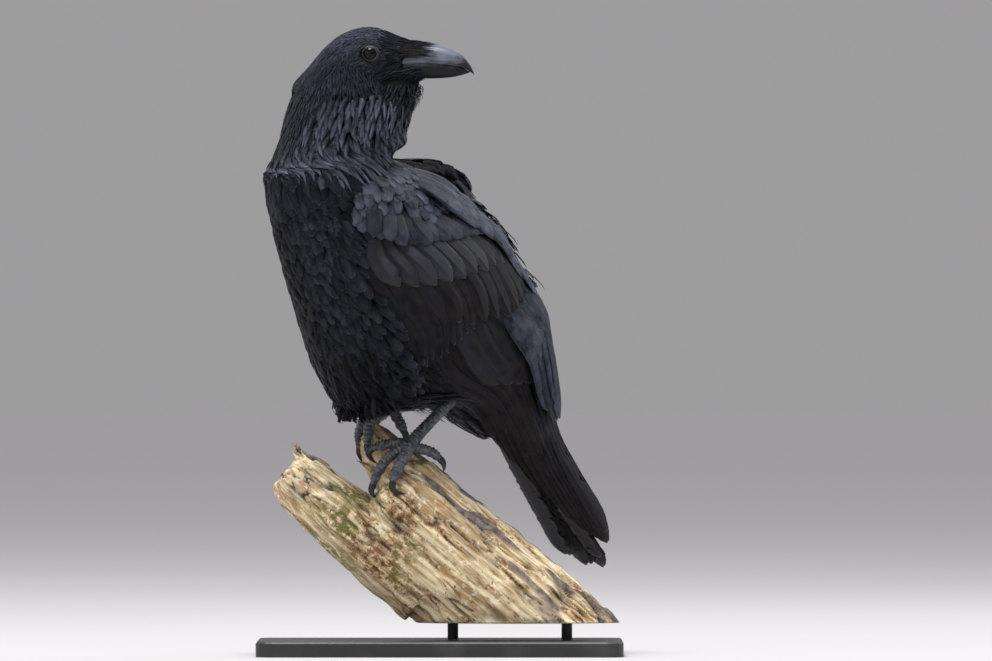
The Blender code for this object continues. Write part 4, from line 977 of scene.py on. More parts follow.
# The lowest tier of hackles stands a little off the breast
roots = neck_coat.rows_over(NECK.point, (0.22, 0.50), (0, FULL_TURN), (0.0066, 0.0064))
bright = neck_coat.draw.uniform(0.0, 1.0, len(roots)) ** 1.5
stand = 0.0002 + 0.0030 * rising(roots[:, 0], 0.24, 0.2)
# Pale rims and painted sheen are strongest on the side towards the camera and on the higher rows
facing = np.clip(np.cos(roots[:, 1]) * 1.4 + 0.1, 0, 1)
shown = np.maximum(facing, rising(roots[:, 0], 0.26, 0.20))
pale, sheen = 0.08 + (0.20 + 0.72 * bright) * shown, 0.12 + (0.48 + 0.40 * bright) * shown
neck_coat.lay(NECK.point, roots, 0.026, 0.0074, HACKLE, (-0.0050, stand), 0.0006, rag=0.18, tilt=0.10,
              tone=(pale, sheen, 0.0), wander=0.30, camber=0.14, vary=0.25)
neck_coat.build()

# The head: very short, close feathers that run back from the bill over the crown and cheeks, a beard of
# ragged little feathers under the chin, and stiff bristles that lie forward over the nostrils.
EYE_AT = (-0.0605, 0.5578)
EYE_RADIUS = 0.0085
EYE_SUNK = 0.0055
BARE_RING = 0.0077
BILL_BASE = -0.0420
HEAD_BACK = -0.1335
NAPE_FALL = np.array([-0.28, 0.0, -0.96])
# How far a mandible's inner face swells past its cutting edge, as a share of its depth
INNER_SWELL = 0.11
# The head's feathers: from where to where, how close, how long, how wide and how high at the tip
HEAD_TIERS = (
    ((-0.0330, -0.0780), (0.0017, 0.0017), 0.0056, 0.0022, 0.0003),
    ((-0.0760, -0.1030), (0.0021, 0.0020), 0.0082, 0.0026, 0.0004),
    ((-0.1010, -0.1330), (0.0025, 0.0024), 0.0125, 0.0032, 0.0005),
)


def head_place(x, angle, lift):
    """The head's surface. Behind its back it runs on down the nape."""
    x, angle, lift = np.broadcast_arrays(x, angle, lift)
    past = np.maximum(HEAD_BACK - x, 0)[..., None]
    proud = rising(past, 0, 0.006) * (lift[..., None] + 0.0006)
    return HEAD.point(np.maximum(x, HEAD_BACK), angle, lift) + NAPE_FALL * past - LOOK * proud


def eye_centre(side):
    """The eyeball's centre. The side is 1 for the bird's right eye, which looks to -Y."""
    x, z = EYE_AT
    centre, up, flank = HEAD.parts(x)[:3]
    rise = (z - centre[2]) / np.linalg.norm(up)
    out = flank * math.sqrt(1 - rise * rise)
    return centre + UP * (z - centre[2]) + side * out * (1 - EYE_SUNK / np.linalg.norm(out))


head_coat = Coat("coat_head", velvet, (-0.14, -0.01), (0, FULL_TURN), 13)
for side, span in ((1, (-math.pi / 2, math.pi / 2)), (-1, (math.pi / 2, 1.5 * math.pi))):
    rim_middle = eye_centre(side) + side * LOOK_RIGHT * EYE_SUNK
    for u_span, pitch, length, width, lift in HEAD_TIERS:
        roots = head_coat.rows_over(head_place, u_span, span, pitch)
        behind = rising(roots[:, 0], -0.095, -0.03)
        # Feathers on top of the head, which face up, take a painted blue sheen
        sheen_on_top = np.clip(np.sin(roots[:, 1]) * 1.6 - 0.5, 0, 1) * (1 - 0.85 * behind)
        head_coat.lay(head_place, roots, length, width, STRAND, (-0.0012, lift), 0.0003,
                      turn=-(0.50 + 0.35 * behind) * np.cos(roots[:, 1]), camber=0.06,
                      tone=(0.14 + 0.36 * sheen_on_top, 0.20 + 0.80 * sheen_on_top, 0.05),
                      clearance=(rim_middle, BARE_RING), wander=0.16)
# Under the bill's base the feathers turn down and stand off a little
roots = head_coat.rows_over(head_place, (-0.0640, -0.0130), np.radians((205, 335)), (0.0022, 0.0022))
head_coat.lay(head_place, roots, 0.0090, 0.0026, HACKLE, (-0.0012, 0.0022), 0.0004, tone=(0.05, 0.15, 0.05),
              wander=0.25)
head_coat.build()


def bill_section(x, ridge, edge, half_width):
    """A section of a mandible: a round back from its cutting edge to its ridge, and a nearly flat inside."""
    centre = np.array([x, look_depth(x), edge])
    return (x, centre, UP * (ridge - edge), LOOK_RIGHT * half_width, INNER_SWELL)


UPPER_BILL = Form([bill_section(*row) for row in (
    (BILL_BASE, 0.5680, 0.5482, 0.0140),
    (-0.0300, 0.5680, 0.5492, 0.0122),
    (-0.0150, 0.5672, 0.5500, 0.0108),
    (0.0000, 0.5655, 0.5492, 0.0092),
    (0.0110, 0.5620, 0.5480, 0.0075),
    (0.0200, 0.5570, 0.5462, 0.0056),
    (0.0262, 0.5505, 0.5436, 0.0038),
    (0.0302, 0.5445, 0.5404, 0.0020),
    (0.0316, 0.5405, 0.5388, 0.0007),
)])
LOWER_BILL = Form([bill_section(*row) for row in (
    (BILL_BASE, 0.5365, 0.5472, 0.0126),
    (-0.0250, 0.5358, 0.5486, 0.0112),
    (-0.0080, 0.5352, 0.5486, 0.0092),
    (0.0060, 0.5358, 0.5476, 0.0072),
    (0.0160, 0.5372, 0.5460, 0.0052),
    (0.0235, 0.5392, 0.5434, 0.0032),
    (0.0283, 0.5410, 0.5414, 0.0006),
)])


def over_bill(form):
    """The surface round a mandible, carried back into the head past its base."""

    def place(x, angle, lift):
        x, angle, lift = np.broadcast_arrays(x, angle, lift)
        back = np.minimum(x - BILL_BASE, 0)[..., None]
        return form.point(np.maximum(x, BILL_BASE), angle, lift) + LOOK * back

    return place


bristles = Coat("bristles", soft_black, (-0.06, 0.0), (0, math.pi), 14)
upper_place, lower_place = over_bill(UPPER_BILL), over_bill(LOWER_BILL)


def comb(place, span, shake, count, start, strew, reach, width, lifts, **form):
    """Bristles that lie forward, from roots strewn about a line across the head."""
    angles = np.radians(np.linspace(*span, count))
    if shake:
        angles += bristles.draw.uniform(-shake, shake, count)
    roots = np.stack([start + bristles.draw.uniform(*strew, count), angles], axis=1)
    bristles.lay(place, roots, reach, width, STRAND, lifts, 0.0004, flow=1.0, **form)


for start, reach, lift in (
    (-0.0480, 0.042, 0.0008), (-0.0500, 0.043, 0.0015), (-0.0520, 0.040, 0.0022), (-0.0560, 0.036, 0.0030),
):
    comb(upper_place, (18, 162), 0.03, 64, start, (-0.005, 0.004), reach, 0.0013, (0.0020, lift),
         wander=0.04, tone=(0.55, 0.04, 0.95), camber=0.4, vary=0.10)
for start, reach, lift in ((-0.0560, 0.030, 0.0008), (-0.0620, 0.028, 0.0012)):
    comb(head_place, (24, 156), 0.05, 44, start, (-0.005, 0.006), reach, 0.0015, (-0.0010, lift),
         wander=0.06, tone=(0.15, 0.20, 0.40), camber=0.4, vary=0.15)
# Shorter ones over the corner of the mouth
for span in ((-14, 26), (154, 194)):
    comb(head_place, span, 0, 16, -0.0480, (-0.006, 0.006), 0.017, 0.0016, (-0.0010, 0.0008),
         wander=0.12, tone=(0.05, 0.05, 0.15), camber=0.4, vary=0.3)
for start, reach, lift in ((-0.0560, 0.034, 0.0016), (-0.0500, 0.028, 0.0009)):
    comb(lower_place, (22, 158), 0.05, 40, start, (-0.004, 0.006), reach, 0.0017, (0.0018, lift),
         wander=0.08, tone=(0.03, 0.03, 0.10), camber=0.3, vary=0.28)
bristles.build()

# The beard hangs from the chin and the throat's front edge
beard = Coat("beard", soft_black, (0.0, 1.0), (0, FULL_TURN), 15)
roots = beard.rows_over(CHIN.point, (0.12, 0.97), np.radians((-75, 255)), (0.0031, 0.0029))
forward = np.clip(np.sin(roots[:, 1]), 0, 1) ** 2
low_down = np.clip(roots[:, 0] * 1.4 - 0.2, 0, 1)
# A painted sheen and pale rims on the lower beard's feathers, at random
bright = beard.draw.uniform(0.0, 1.0, len(roots)) ** 1.5
ragged = beard.draw.uniform(0.2, 1.0, len(roots)) ** 2
ends = 0.0008 + 0.0048 * forward * ragged * (1 - 0.75 * low_down)
beard.lay(CHIN.point, roots, 0.0115 + 0.008 * low_down, 0.0022 + 0.0016 * low_down, HACKLE,
          (-0.0024, ends), 0.0003, flow=1.0, wander=0.30, vary=0.30,
          tone=(0.25 + 0.6 * bright * low_down, 0.20 + 0.7 * low_down * bright, 0.15))
beard.build()

# The folded wings: small coverts over the wrist, tiers of larger ones, and the long flight feathers under
# them, on stiff shafts. The scapulars lie over the wing's upper edge and face up, with the strongest painted
# blue sheen of all.
PRIMARY_TIPS = (-0.062, -0.120, -0.160, -0.190, -0.208, -0.216, -0.206)
SECONDARY_TIPS = (-0.006, -0.020, -0.031, -0.041, -0.052, -0.063, -0.074)
TERTIAL_TIPS = (-0.070, -0.084, -0.086, -0.076, -0.060, -0.038)
# Each row of scapulars: roots and tips along the wing, its ends across it, and its number of feathers
SHOULDER_ROWS = (
    (0.092, 0.020, 0.78, 0.95, 5),
    (0.116, 0.046, 0.74, 0.95, 6),
    (0.140, 0.072, 0.70, 0.95, 6),
    (0.162, 0.096, 0.68, 0.94, 7),
    (0.184, 0.124, 0.64, 0.94, 7),
    (0.206, 0.150, 0.62, 0.93, 7),
)
WING_SPAN = (-0.23, 0.24)
TIER_TILT = 0.0017


def spread_of(values, count):
    """Values read evenly along a short list."""
    return np.interp(np.linspace(0, 1, count), np.linspace(0, 1, len(values)), values)


def tier(coat, place, q_range, roots, tips, width, lifts, count, tone, camber=0.16):
    """One tier of wing feathers, from its lower end to its upper end."""
    q = np.linspace(*q_range, count)
    start = np.stack([spread_of(roots, count), q], axis=1)
    end = np.stack([spread_of(tips, count) + coat.draw.uniform(-0.002, 0.002, count), q], axis=1)
    wide = spread_of(width, count)
    length = np.abs(end[:, 0] - start[:, 0])
    coat.lay(place, start, length, wide, flight_outline(14, 0.70, 0.9), lifts, 0.0007, tone, tips=end,
             vary=0.03, tilt=-TIER_TILT / wide.mean(), camber=camber, rag=0.04, splits=0.03,
             columns=VANE_COLUMNS)


def long_feathers(coat, place, root, root_q, tips, tip_q, lifts, width, outline, **form):
    """Flight feathers from one line of roots, each to its own tip."""
    start = np.stack([np.full(len(tips), root), root_q], axis=1)
    coat.lay(place, start, root - tips, width, outline, lifts, 0.0006, tips=np.stack([tips, tip_q], axis=1),
             vary=0.0, rag=0.04, splits=0.03, columns=VANE_COLUMNS, **form)


def shoulder_wall(t, down, lift):
    """The inner face of the raised right shoulder, from its top edge down to the back."""
    t, down, lift = np.broadcast_arrays(t, down, lift)
    top = wing_point(t, np.ones(t.shape), -0.0010, -1)
    foot = wing_point(t, np.ones(t.shape), -ARM_DEPTH, -1, False)
    return top + (foot - top) * down[..., None] + LEFT * lift[..., None]


def clothe_raised_shoulder(quills, place):
    """Dark feathers on the inner face, ragged ones past its end, pale down, and the top edge's own row,
    painted in full pale rims and sheen as a highlight along the edge.
    """
    roots = quills.rows_over(shoulder_wall, (0.226, 0.075), (0.02, 0.98), (0.0085, 0.0085))
    quills.lay(shoulder_wall, roots, 0.026, 0.0125, BODY_VANE, (-0.0015, 0.0012), 0.0004, rag=0.20,
               tilt=0.02, camber=0.04, tone=(0.12, 0.0, 0.45), splits=0.20, wander=0.20)
    roots = quills.scattered((0.085, 0.150), (-0.05, 0.35), 26)
    quills.lay(shoulder_wall, roots, 0.034, 0.0080, HACKLE, (0.0005, 0.0060), 0.0005, rag=0.25, wander=0.5,
               tone=(0.30, 0.30, 0.40), splits=0.3)
    down = Coat("wing_right_down_and_lit_rim", hackle_gloss, WING_SPAN, (0, 1), 33)
    roots = down.scattered((0.112, 0.140), (0.90, 1.0), 110)
    down.lay(place, roots, 0.020, 0.0014, STRAND, (0.0, 0.0120), 0.0003, wander=0.8, tone=(1.0, 0.8, 0.0),
             vary=0.4)
    # The top edge's own row, painted pale and blue as a highlight along the edge
    roots = np.stack([np.linspace(0.228, 0.150, 18), np.full(18, 0.965)], axis=1)
    down.lay(place, roots, 0.022, 0.0120, BODY_VANE, (0.0, 0.0030), 0.0005, rag=0.15, tone=(1.0, 1.0, 0.0))
    down.build()


def build_wing(name, side, seed):
    def place(t, q, lift):
        return wing_point(t, q, lift, side)

    quills = Coat(name + "_quills", flight_black, WING_SPAN, (0, 1), seed)
    # Ten primaries on the left wing, and the upper five of them on the right one
    order = np.arange(0 if side > 0 else 5, 10)
    q = 0.06 + 0.0667 * order
    lift = -0.0085 + 0.00066 * order
    long_feathers(quills, place, 0.085, q, spread_of(PRIMARY_TIPS, 10)[order], q * 0.92 + 0.02, (lift, lift),
                  0.0195, flight_outline(34), tilt=-0.14, camber=0.05, shaft=0.35,
                  tone=(np.where(order == 4, 0.9, 0.30), 0.06, 0.75))
    # Ten secondaries, then six broad tertials over them
    order = np.arange(10)
    q = 0.26 + 0.060 * order
    lift = -0.0040 + 0.0006 * order
    long_feathers(quills, place, 0.115, q, spread_of(SECONDARY_TIPS, 10), q, (lift - 0.001, lift), 0.022,
                  flight_outline(24, 0.84, 0.7), tilt=-0.08, camber=0.06, shaft=0.25,
                  tone=(0.35, 0.10, 0.60))
    # The upper tertials, which face up, take more painted sheen
    order = np.arange(6)
    q = 0.55 + 0.062 * order
    lift = 0.0026 + 0.0009 * order
    long_feathers(quills, place, 0.060, q - 0.05, spread_of(TERTIAL_TIPS, 6), q, (lift - 0.007, lift), 0.034,
                  flight_outline(24, 0.80, 0.7), tilt=-0.06, camber=0.08, shaft=0.1,
                  tone=(0.80, np.linspace(0.5, 1.0, 6), 0.10))
    # The dark lower tiers of the greater coverts
    tier(quills, place, (0.03, 0.30), (0.175, 0.165), (0.062, 0.060), (0.014, 0.018), (-0.002, 0.0005), 9,
         (0.30, 0.05, 0.7))
    tier(quills, place, (0.11, 0.87), (0.165, 0.085), (0.098, 0.064, 0.042, 0.034, 0.030), (0.021, 0.027),
         (-0.0030, 0.0016), 13, (0.35, 0.02, 0.70), 0.10)
    if side < 0:
        clothe_raised_shoulder(quills, place)
    quills.build()

    coverts = Coat(name + "_coverts", glossy, WING_SPAN, (0, 1), seed + 1)
    tier(coverts, place, (0.10, 0.86), (0.190, 0.110), (0.140, 0.112, 0.088, 0.070, 0.060), (0.019, 0.023),
         (-0.0030, 0.0023), 13, (0.40, 0.10, 0.60), 0.10)
    tier(coverts, place, (0.09, 0.85), (0.214, 0.135), (0.186, 0.164, 0.138, 0.112, 0.092), (0.016, 0.021),
         (-0.0030, 0.0029), 16, (0.35, 0.45, 0.40), 0.12)
    # Small coverts over the wrist and along the arm
    roots = coverts.rows_over(place, (0.150, 0.232), (-0.05, 0.92), (0.0066, 0.0074))
    rise = rising(roots[:, 1], 0.25, 0.5)
    fits = roots[:, 0] > 0.205 - 0.062 * rise
    lit = coverts.draw.uniform(0.0, 1.0, int(fits.sum())) ** 1.3
    tone = (0.35 + 0.45 * lit, 0.60 + 0.40 * lit, 0.35 - 0.25 * rise[fits])
    coverts.lay(place, roots[fits], 0.0185, 0.0125, BODY_VANE, (-0.0024, 0.0016), 0.0004, tone, rag=0.14,
                tilt=-0.03, camber=0.05, columns=VANE_COLUMNS, splits=0.06, wander=0.14)
    # The scapulars, facing up, with full painted sheen and pale rims
    for row, (root, tip, low, high, count) in enumerate(SHOULDER_ROWS):
        tier(coverts, place, (low, high), (root, root), (tip, tip + 0.010), (0.025, 0.025),
             (-0.002, 0.0050 + 0.0005 * row), count, (0.80, 1.0, 0.0))
    # Loose ends along the upper edge
    roots = coverts.scattered((0.030, 0.165), (0.86, 0.99), 46)
    coverts.lay(place, roots, 0.030, 0.0125, BODY_VANE, (-0.0010, 0.0120), 0.0005, rag=0.2, wander=0.30,
                splits=0.25, tone=(0.50, 0.70, 0.15))
    coverts.build()


build_wing("wing_left", 1, 21)
build_wing("wing_right", -1, 31)

# The tail: twelve long feathers in a slight fan, the middle pair on top and the outer ones shorter, worn
# brown and frayed at the edges. They are stiff vanes, rooted in the rump under its own long feathers.
TAIL_ROOT = -0.0663
TAIL_LENGTH = 0.172
TAIL_FAN = math.radians(6.5)
TAIL_DROP = math.radians(1.5)
TAIL_TURN = math.radians(2.5)
TAIL_FEATHER = 0.026
TAIL_VANE = flight_outline(40, 0.90, 0.8)


def tail_place(spread):
    """The surface that a tail feather at this place in the fan lies in: 0 is the middle, 1 the outermost."""
    angle = TAIL_FAN * spread - TAIL_TURN
    direction = -FORWARD * math.cos(angle) + LEFT * math.sin(angle)
    direction = direction * math.cos(TAIL_DROP) - DORSAL * math.sin(TAIL_DROP)
    across = LEFT * math.cos(angle) + FORWARD * math.sin(angle)
    outward = unit(DORSAL + LEFT * 0.16 * spread)
    start = body_point(TAIL_ROOT - 0.004, 0.010 * spread, 0.004 - 0.0055 * abs(spread))

    def place(u, q, lift):
        u, q, lift = np.broadcast_arrays(u, q, lift)
        return start + direction * u[..., None] + across * q[..., None] + outward * lift[..., None]

    return place


tail = Coat("tail_feathers", flight_black, (-1.2, 1.2), (-1, 1), 41)
for k in range(6):
    for side in (1, -1):
        spread = (k + 0.5) / 5.5 * side
        length = TAIL_LENGTH * (1.0 - 0.12 * spread**2)
        lift = 0.0045 - 0.0014 * k - (0.0007 if side < 0 else 0)
        worn = 1.0 if side > 0 and k > 2 else 0.55
        tail.lay(tail_place(spread), np.zeros((1, 2)), length, TAIL_FEATHER, TAIL_VANE, (lift, lift), 0.0007,
                 flow=1.0, vary=0.035, wander=0.012, camber=0.07, rag=0.09, splits=0.12,
                 columns=VANE_COLUMNS, tone=(0.65, 0.04, worn), shaft=-0.25 * side)
tail.build()
rump = Coat("coat_rump", soft_black, (-0.07, 0.05), (0, FULL_TURN), 42)
roots = rump.rows_over(TORSO.point, (-0.066, 0.030), (math.pi, FULL_TURN), (0.0085, 0.0090))
rump.lay(TORSO.point, roots, 0.046, 0.0110, HACKLE, (-0.0020, 0.0050), 0.0005, rag=0.20,
         tone=(0.20, 0.04, 0.25), splits=0.15, wander=0.18)
roots = rump.rows_over(TORSO.point, (-0.064, -0.020), (0, FULL_TURN), (0.0080, 0.0085))
rump.lay(TORSO.point, roots, 0.034, 0.0150, BODY_VANE, (-0.0020, 0.0012), 0.0006, rag=0.15,
         tone=(0.25, 0.25, 0.2), splits=0.10)
rump.build()

# The bill: two mandibles of dark grey horn. The upper one is arched, with a sharp cutting edge and a hooked
# tip. Both have a dull gloss and fine lengthwise lines, with a bluish painted highlight that grows paler
# towards the top, and the lower one is in a darker copy of the horn, as painted shade.
HORN_DARK = (0.006, 0.0065, 0.0075, 1)
# Pale lines in the horn, paler higher up as a painted highlight
HORN_STREAK_AND_HIGHLIGHT = (0.130, 0.150, 0.195, 1)
TIP_DARKENS = (0.034, 0.010)
BILL_SUNK = 0.006


def horn(name, roughness, pale, upper, gloss=0.5):
    """Dark horn with fine lengthwise lines, paler above the given heights as a painted highlight on the upper
    side, and dark at the bill's tip.
    """
    look = Look(name, roughness)
    place = look.place()
    line = look.noise(look.stretch(place, (60, 420, 420)), 1.0, 5.0, 0.6)
    cloud = look.noise(place, 130.0, 3.0)
    spot = look.node("SeparateXYZ", {0: place})
    share = look.times(look.times(line, look.plus(cloud, 0.3)), pale)
    # Paler higher up, a painted highlight on the upper side
    share = look.times(share, look.plus(look.ramp(spot.outputs[2], *upper), 0.22))
    share = look.times(share, look.ramp(spot.outputs[0], *TIP_DARKENS))
    colour = look.mix(look.ramp(share, 0.10, 0.62), HORN_DARK, HORN_STREAK_AND_HIGHLIGHT)
    shine = look.spread(cloud, roughness - 0.08, roughness + 0.14)
    look.feed(Base_Color=colour, Roughness=shine, Normal=look.bump(line, 0.00025, 0.5))
    look.feed(Specular_IOR_Level=gloss)
    return look.material


bill_horn = horn("horn", 0.34, 1.25, (0.542, 0.558))
# A darker copy of the horn for the lower mandible, as painted shade
shaded_low_horn = horn("shaded_low_horn", 0.46, 1.0, (0.540, 0.560), 0.25)


def build_mandible(name, form, look):
    stops = np.linspace(0, 1, 60) ** 0.75
    stops = form.at[0] - BILL_SUNK + (form.at[-1] - form.at[0] + BILL_SUNK) * stops
    around = all_round(48)
    points, faces = closed_rings(over_bill(form)(stops[:, None], around[None, :], 0.0))
    piece = mesh_object(name + "_horn", points, faces, look)
    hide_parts(name)
    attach(piece, "root")


build_mandible("bill_upper", UPPER_BILL, bill_horn)
build_mandible("bill_lower", LOWER_BILL, shaded_low_horn)

# The eyes: glossy globes with a dark brown iris and a black pupil under a clear cornea, each in a narrow
# ring of bare grey lid skin with fine beads along its edge.
PUPIL_BLACK = (0.0015, 0.0015, 0.0018, 1)
IRIS_BROWN = (0.0015, 0.0011, 0.0009, 1), (0.006, 0.0035, 0.0025, 1)
PUPIL_EDGE = (0.925, 0.905)
CORNEA_BULGE = 0.05
LID_DARK = (0.016, 0.017, 0.021, 1), (0.006, 0.006, 0.008, 1)
LID_EDGE = (0.120, 0.130, 0.150, 1)
LID_WIDTH = 1.10
LID_STEPS = 72
BEAD_HEIGHT = 0.00012
# The lid's section: how far out from the eye's middle, and how high on its axis
LID_PROFILE = (
    (0.0057, 0.0050), (0.0059, 0.0063), (0.0061, 0.0067), (0.0064, 0.0064), (0.0067, 0.0057),
    (0.0070, 0.0058), (0.0075, 0.0053), (0.0082, 0.0038), (0.0080, 0.0026), (0.0066, 0.0026),
)


def build_eye(name, side):
    centre = eye_centre(side)
    axis = side * LOOK_RIGHT
    look = Look(name + "_look", 0.04)
    away = look.node("VectorMath", {0: look.place(), 1: tuple(centre)}, operation="SUBTRACT").outputs[0]
    facing = look.node("VectorMath", {0: away, 1: tuple(axis)}, operation="DOT_PRODUCT").outputs["Value"]
    iris = look.ramp(facing, *(EYE_RADIUS * share for share in PUPIL_EDGE))
    brown = look.mix(look.noise(away, 1400.0, 3.0), *IRIS_BROWN)
    look.feed(Base_Color=look.mix(iris, PUPIL_BLACK, brown), Specular_IOR_Level=0.20)
    rings = []
    for a in np.linspace(0.02, math.pi - 0.02, 32):
        around = all_round(40)
        bulge = EYE_RADIUS * (1 + CORNEA_BULGE * math.exp(-((a / 0.55) ** 2)))
        flat = LOOK * np.cos(around)[:, None] + UP * np.sin(around)[:, None]
        rings.append(centre + bulge * (flat * math.sin(a) + axis * math.cos(a)))
    points, faces = closed_rings(np.array(rings))
    eye = mesh_object(name + "_globe", points, faces, look.material)
    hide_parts(name)
    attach(eye, "root")


def lid_look():
    """Bare, finely beaded skin, pale along the lid's edge."""
    look = Look("lid_skin", 0.45)
    cells = look.node("TexVoronoi", {"Vector": look.place(), "Scale": 1500.0}).outputs["Distance"]
    colour = look.mix(look.named("edge"), look.mix(cells, *LID_DARK), LID_EDGE)
    look.feed(Base_Color=colour, Normal=look.bump(cells, 0.0002, 0.6))
    return look.material


lid_skin = lid_look()


def build_lid(name, side):
    """A ring of two low folds from the globe out to the feathers."""
    centre = eye_centre(side)
    around = all_round(LID_STEPS)
    oval = 1 - 0.10 * np.abs(np.sin(around)) ** 2
    beads = BEAD_HEIGHT * np.sin(around * LID_STEPS / 2)
    lines = []
    for k, (radius, height) in enumerate(LID_PROFILE):
        grown = radius * LID_WIDTH * oval + (beads if k in (1, 2, 3) else 0)
        flat = LOOK * (np.cos(around) * grown)[:, None] + UP * (np.sin(around) * grown)[:, None]
        lines.append(centre + flat + side * LOOK_RIGHT * height)
    points = np.array(lines).transpose(1, 0, 2).reshape(-1, 3)
    count = len(LID_PROFILE)
    index = np.arange(LID_STEPS * count).reshape(LID_STEPS, count)
    after = np.roll(index, -1, axis=1)
    faces = np.stack([index, after, np.roll(after, -1, axis=0), np.roll(index, -1, axis=0)], axis=2)
    lid = mesh_object(name, points, faces.reshape(-1, 4), lid_skin)
    keep_on_points(lid.data, "edge", np.tile([0.6 if k in (1, 2) else 0.0 for k in range(count)], LID_STEPS))
    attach(lid, "root")


for name, side in (("eye_right", 1), ("eye_left", -1)):
    build_eye(name, side)
    build_lid("lid_" + name[4:], side)

# The feet: shanks and toes in hard dark scutes, ringed like overlapping tiles on top, with soft pads below,
# and strong curved claws of horn. Three toes of each foot point ahead over the broken end and one back.
FEET = {
    "left": ((-0.0279, -0.0300, 0.1960), (0.0093, -0.0120, 0.2360)),
    "right": ((-0.0480, 0.0260, 0.2290), (-0.0330, 0.0300, 0.2500)),
}
TOES = {
    "left": {
        "inner": (((-0.034, -0.026, 0.197), (-0.048, -0.020, 0.196), (-0.062, -0.014, 0.193)),
                  ((-0.0665, -0.012, 0.188), (-0.0625, -0.011, 0.181), (-0.0575, -0.010, 0.178))),
        "middle": (((-0.034, -0.032, 0.193), (-0.049, -0.034, 0.183), (-0.058, -0.035, 0.169),
                    (-0.062, -0.036, 0.159)),
                   ((-0.0635, -0.036, 0.153), (-0.0620, -0.036, 0.149), (-0.0570, -0.035, 0.146))),
        "outer": (((-0.030, -0.036, 0.190), (-0.036, -0.043, 0.179), (-0.041, -0.047, 0.169),
                   (-0.044, -0.048, 0.162)),
                  ((-0.0435, -0.048, 0.155), (-0.0390, -0.047, 0.1515), (-0.0320, -0.046, 0.1505))),
        "hind": (((-0.021, -0.029, 0.193), (-0.008, -0.028, 0.189), (0.000, -0.027, 0.183)),
                 ((0.0030, -0.027, 0.179), (0.0040, -0.027, 0.174), (0.0030, -0.027, 0.170))),
    },
    "right": {
        "inner": (((-0.054, 0.019, 0.224), (-0.064, 0.012, 0.217), (-0.067, 0.009, 0.205),
                   (-0.068, 0.009, 0.196)),
                  ((-0.0675, 0.009, 0.190), (-0.0655, 0.010, 0.185), (-0.0620, 0.011, 0.182))),
        "middle": (((-0.056, 0.026, 0.226), (-0.068, 0.026, 0.220), (-0.0745, 0.026, 0.209),
                    (-0.075, 0.026, 0.192)),
                   ((-0.0748, 0.026, 0.186), (-0.0725, 0.026, 0.181), (-0.0680, 0.026, 0.178))),
        "outer": (((-0.053, 0.033, 0.224), (-0.063, 0.041, 0.216), (-0.068, 0.044, 0.205),
                   (-0.069, 0.045, 0.197)),
                  ((-0.0685, 0.045, 0.191), (-0.0660, 0.044, 0.186), (-0.0620, 0.042, 0.184))),
        "hind": (((-0.043, 0.024, 0.225), (-0.038, 0.022, 0.217), (-0.033, 0.020, 0.207)),
                 ((-0.0310, 0.019, 0.2020), (-0.0300, 0.018, 0.197), (-0.0305, 0.018, 0.192))),
    },
}
SHANK_RADII = (0.0070, 0.0058, 0.0055, 0.0057, 0.0064, 0.0068)
TOE_RADII = tuple(0.0052 * share for share in (1.15, 1.05, 0.98, 1.02, 0.92, 0.98, 0.84, 0.62))
CLAW_RADII = tuple(0.0030 * share for share in (0.85, 1.0, 0.86, 0.62, 0.34, 0.06))
SCUTE_PITCH = 0.0034
SCUTE_RISE = 0.30
# The length of a pad under a toe, in scutes
PAD_LENGTH = 2.6
SCUTE_GREY = (0.030, 0.033, 0.040, 1), (0.130, 0.140, 0.165, 1)
JOINT_DARK = (0.008, 0.008, 0.009, 1)


def scute_look():
    """Hard, dark, faintly blue scales with darker joints."""
    look = Look("scutes", 0.42)
    place = look.place()
    cells = look.node("TexVoronoi", {"Vector": place, "Scale": 620.0}, feature="DISTANCE_TO_EDGE")
    cloud = look.noise(place, 260.0, 4.0)
    colour = look.mix(look.ramp(cloud, 0.35, 0.70), *SCUTE_GREY)
    colour = look.mix(look.named("joint"), colour, JOINT_DARK)
    height = look.plus(look.ramp(cells.outputs["Distance"], 0.0, 0.22), cloud)
    look.feed(Base_Color=colour, Normal=look.bump(height, 0.00025, 0.6))
    return look.material


scutes = scute_look()
# Claw horn, paler higher up as a painted highlight
claw_horn = horn("claw_horn", 0.26, 0.5, (0.15, 0.22))


def along_path(path, count):
    """Points evenly spaced along a smooth curve through the path."""
    path = np.array(path, float)
    knots = np.concatenate([[0], np.cumsum(np.linalg.norm(np.diff(path, axis=0), axis=1))])
    return curve(knots, path, np.linspace(0, knots[-1], count)), knots[-1]


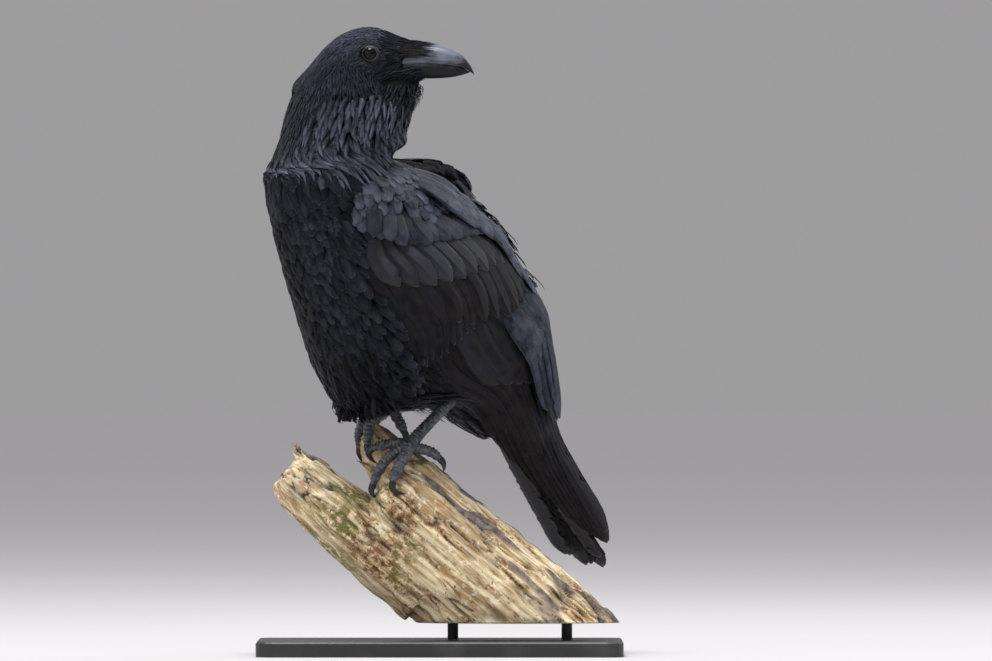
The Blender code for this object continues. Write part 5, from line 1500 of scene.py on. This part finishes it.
def limb(name, path, radii, material, scaled, sides=20, pads=0.0, flat=0.92):
    """A round limb along a path. Its upper face may have overlapping scutes, and its lower face pads."""
    length = along_path(path, 10)[1]
    rows = max(int(length / (SCUTE_PITCH / 6)), 14)
    centres, length = along_path(path, rows)
    radius = np.interp(np.linspace(0, 1, rows), np.linspace(0, 1, len(radii)), radii)
    ahead = unit(np.gradient(centres, axis=0))
    up = UP
    rings, joints = [], []
    for k in range(rows):
        side = unit(np.cross(ahead[k], up))
        up = unit(np.cross(side, ahead[k]))
        a = all_round(sides)
        at = length * k / (rows - 1)
        phase = (at / SCUTE_PITCH) % 1.0
        tile = (SCUTE_RISE * (1 - phase) - 0.10) * np.clip(np.sin(a) + 0.75, 0, 1) if scaled else 0
        lump = 0.5 + 0.5 * math.sin(at / (SCUTE_PITCH * PAD_LENGTH) * FULL_TURN)
        pad = pads * np.clip(-np.sin(a), 0, 1) * lump
        shape = radius[k] * (1 + tile + pad)
        across, upwards = np.cos(a) * shape, np.sin(a) * shape * flat
        rings.append(centres[k] + side * across[:, None] + up * upwards[:, None])
        joints.append(np.full(sides, max(0.0, 1 - phase / 0.22) * 0.6 if scaled else 0.0))
    points, faces = closed_rings(np.array(rings))
    piece = mesh_object(name, points, faces, material)
    keep_on_points(piece.data, "joint", np.concatenate(joints + [[0, 0]]))
    return piece


for foot, (centre, ankle) in FEET.items():
    centre, ankle = np.array(centre), np.array(ankle)
    shin = ankle - centre
    path = [centre + (0, 0, -0.001), centre + shin * 0.2, (centre + ankle) / 2, ankle + shin * 0.4]
    shank = limb(f"shank_{foot}_scales", path, SHANK_RADII, scutes, True, 22)
    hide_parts(f"shank_{foot}")
    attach(shank, "root")
    for toe, (path, claw) in TOES[foot].items():
        path = [tuple(centre)] + list(path)
        digit = limb(f"toe_{foot}_{toe}_scales", path, TOE_RADII, scutes, True, 20, 0.16)
        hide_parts(f"toe_{foot}_{toe}")
        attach(digit, "root")
        points = along_path(path, 8)[0]
        quick = tuple(points[-2] * 0.3 + points[-1] * 0.7)
        nail = limb(f"claw_{foot}_{toe}_horn", [quick] + list(claw), CLAW_RADII, claw_horn, False, 16,
                    flat=1.15)
        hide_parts(f"claw_{foot}_{toe}")
        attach(nail, "root")
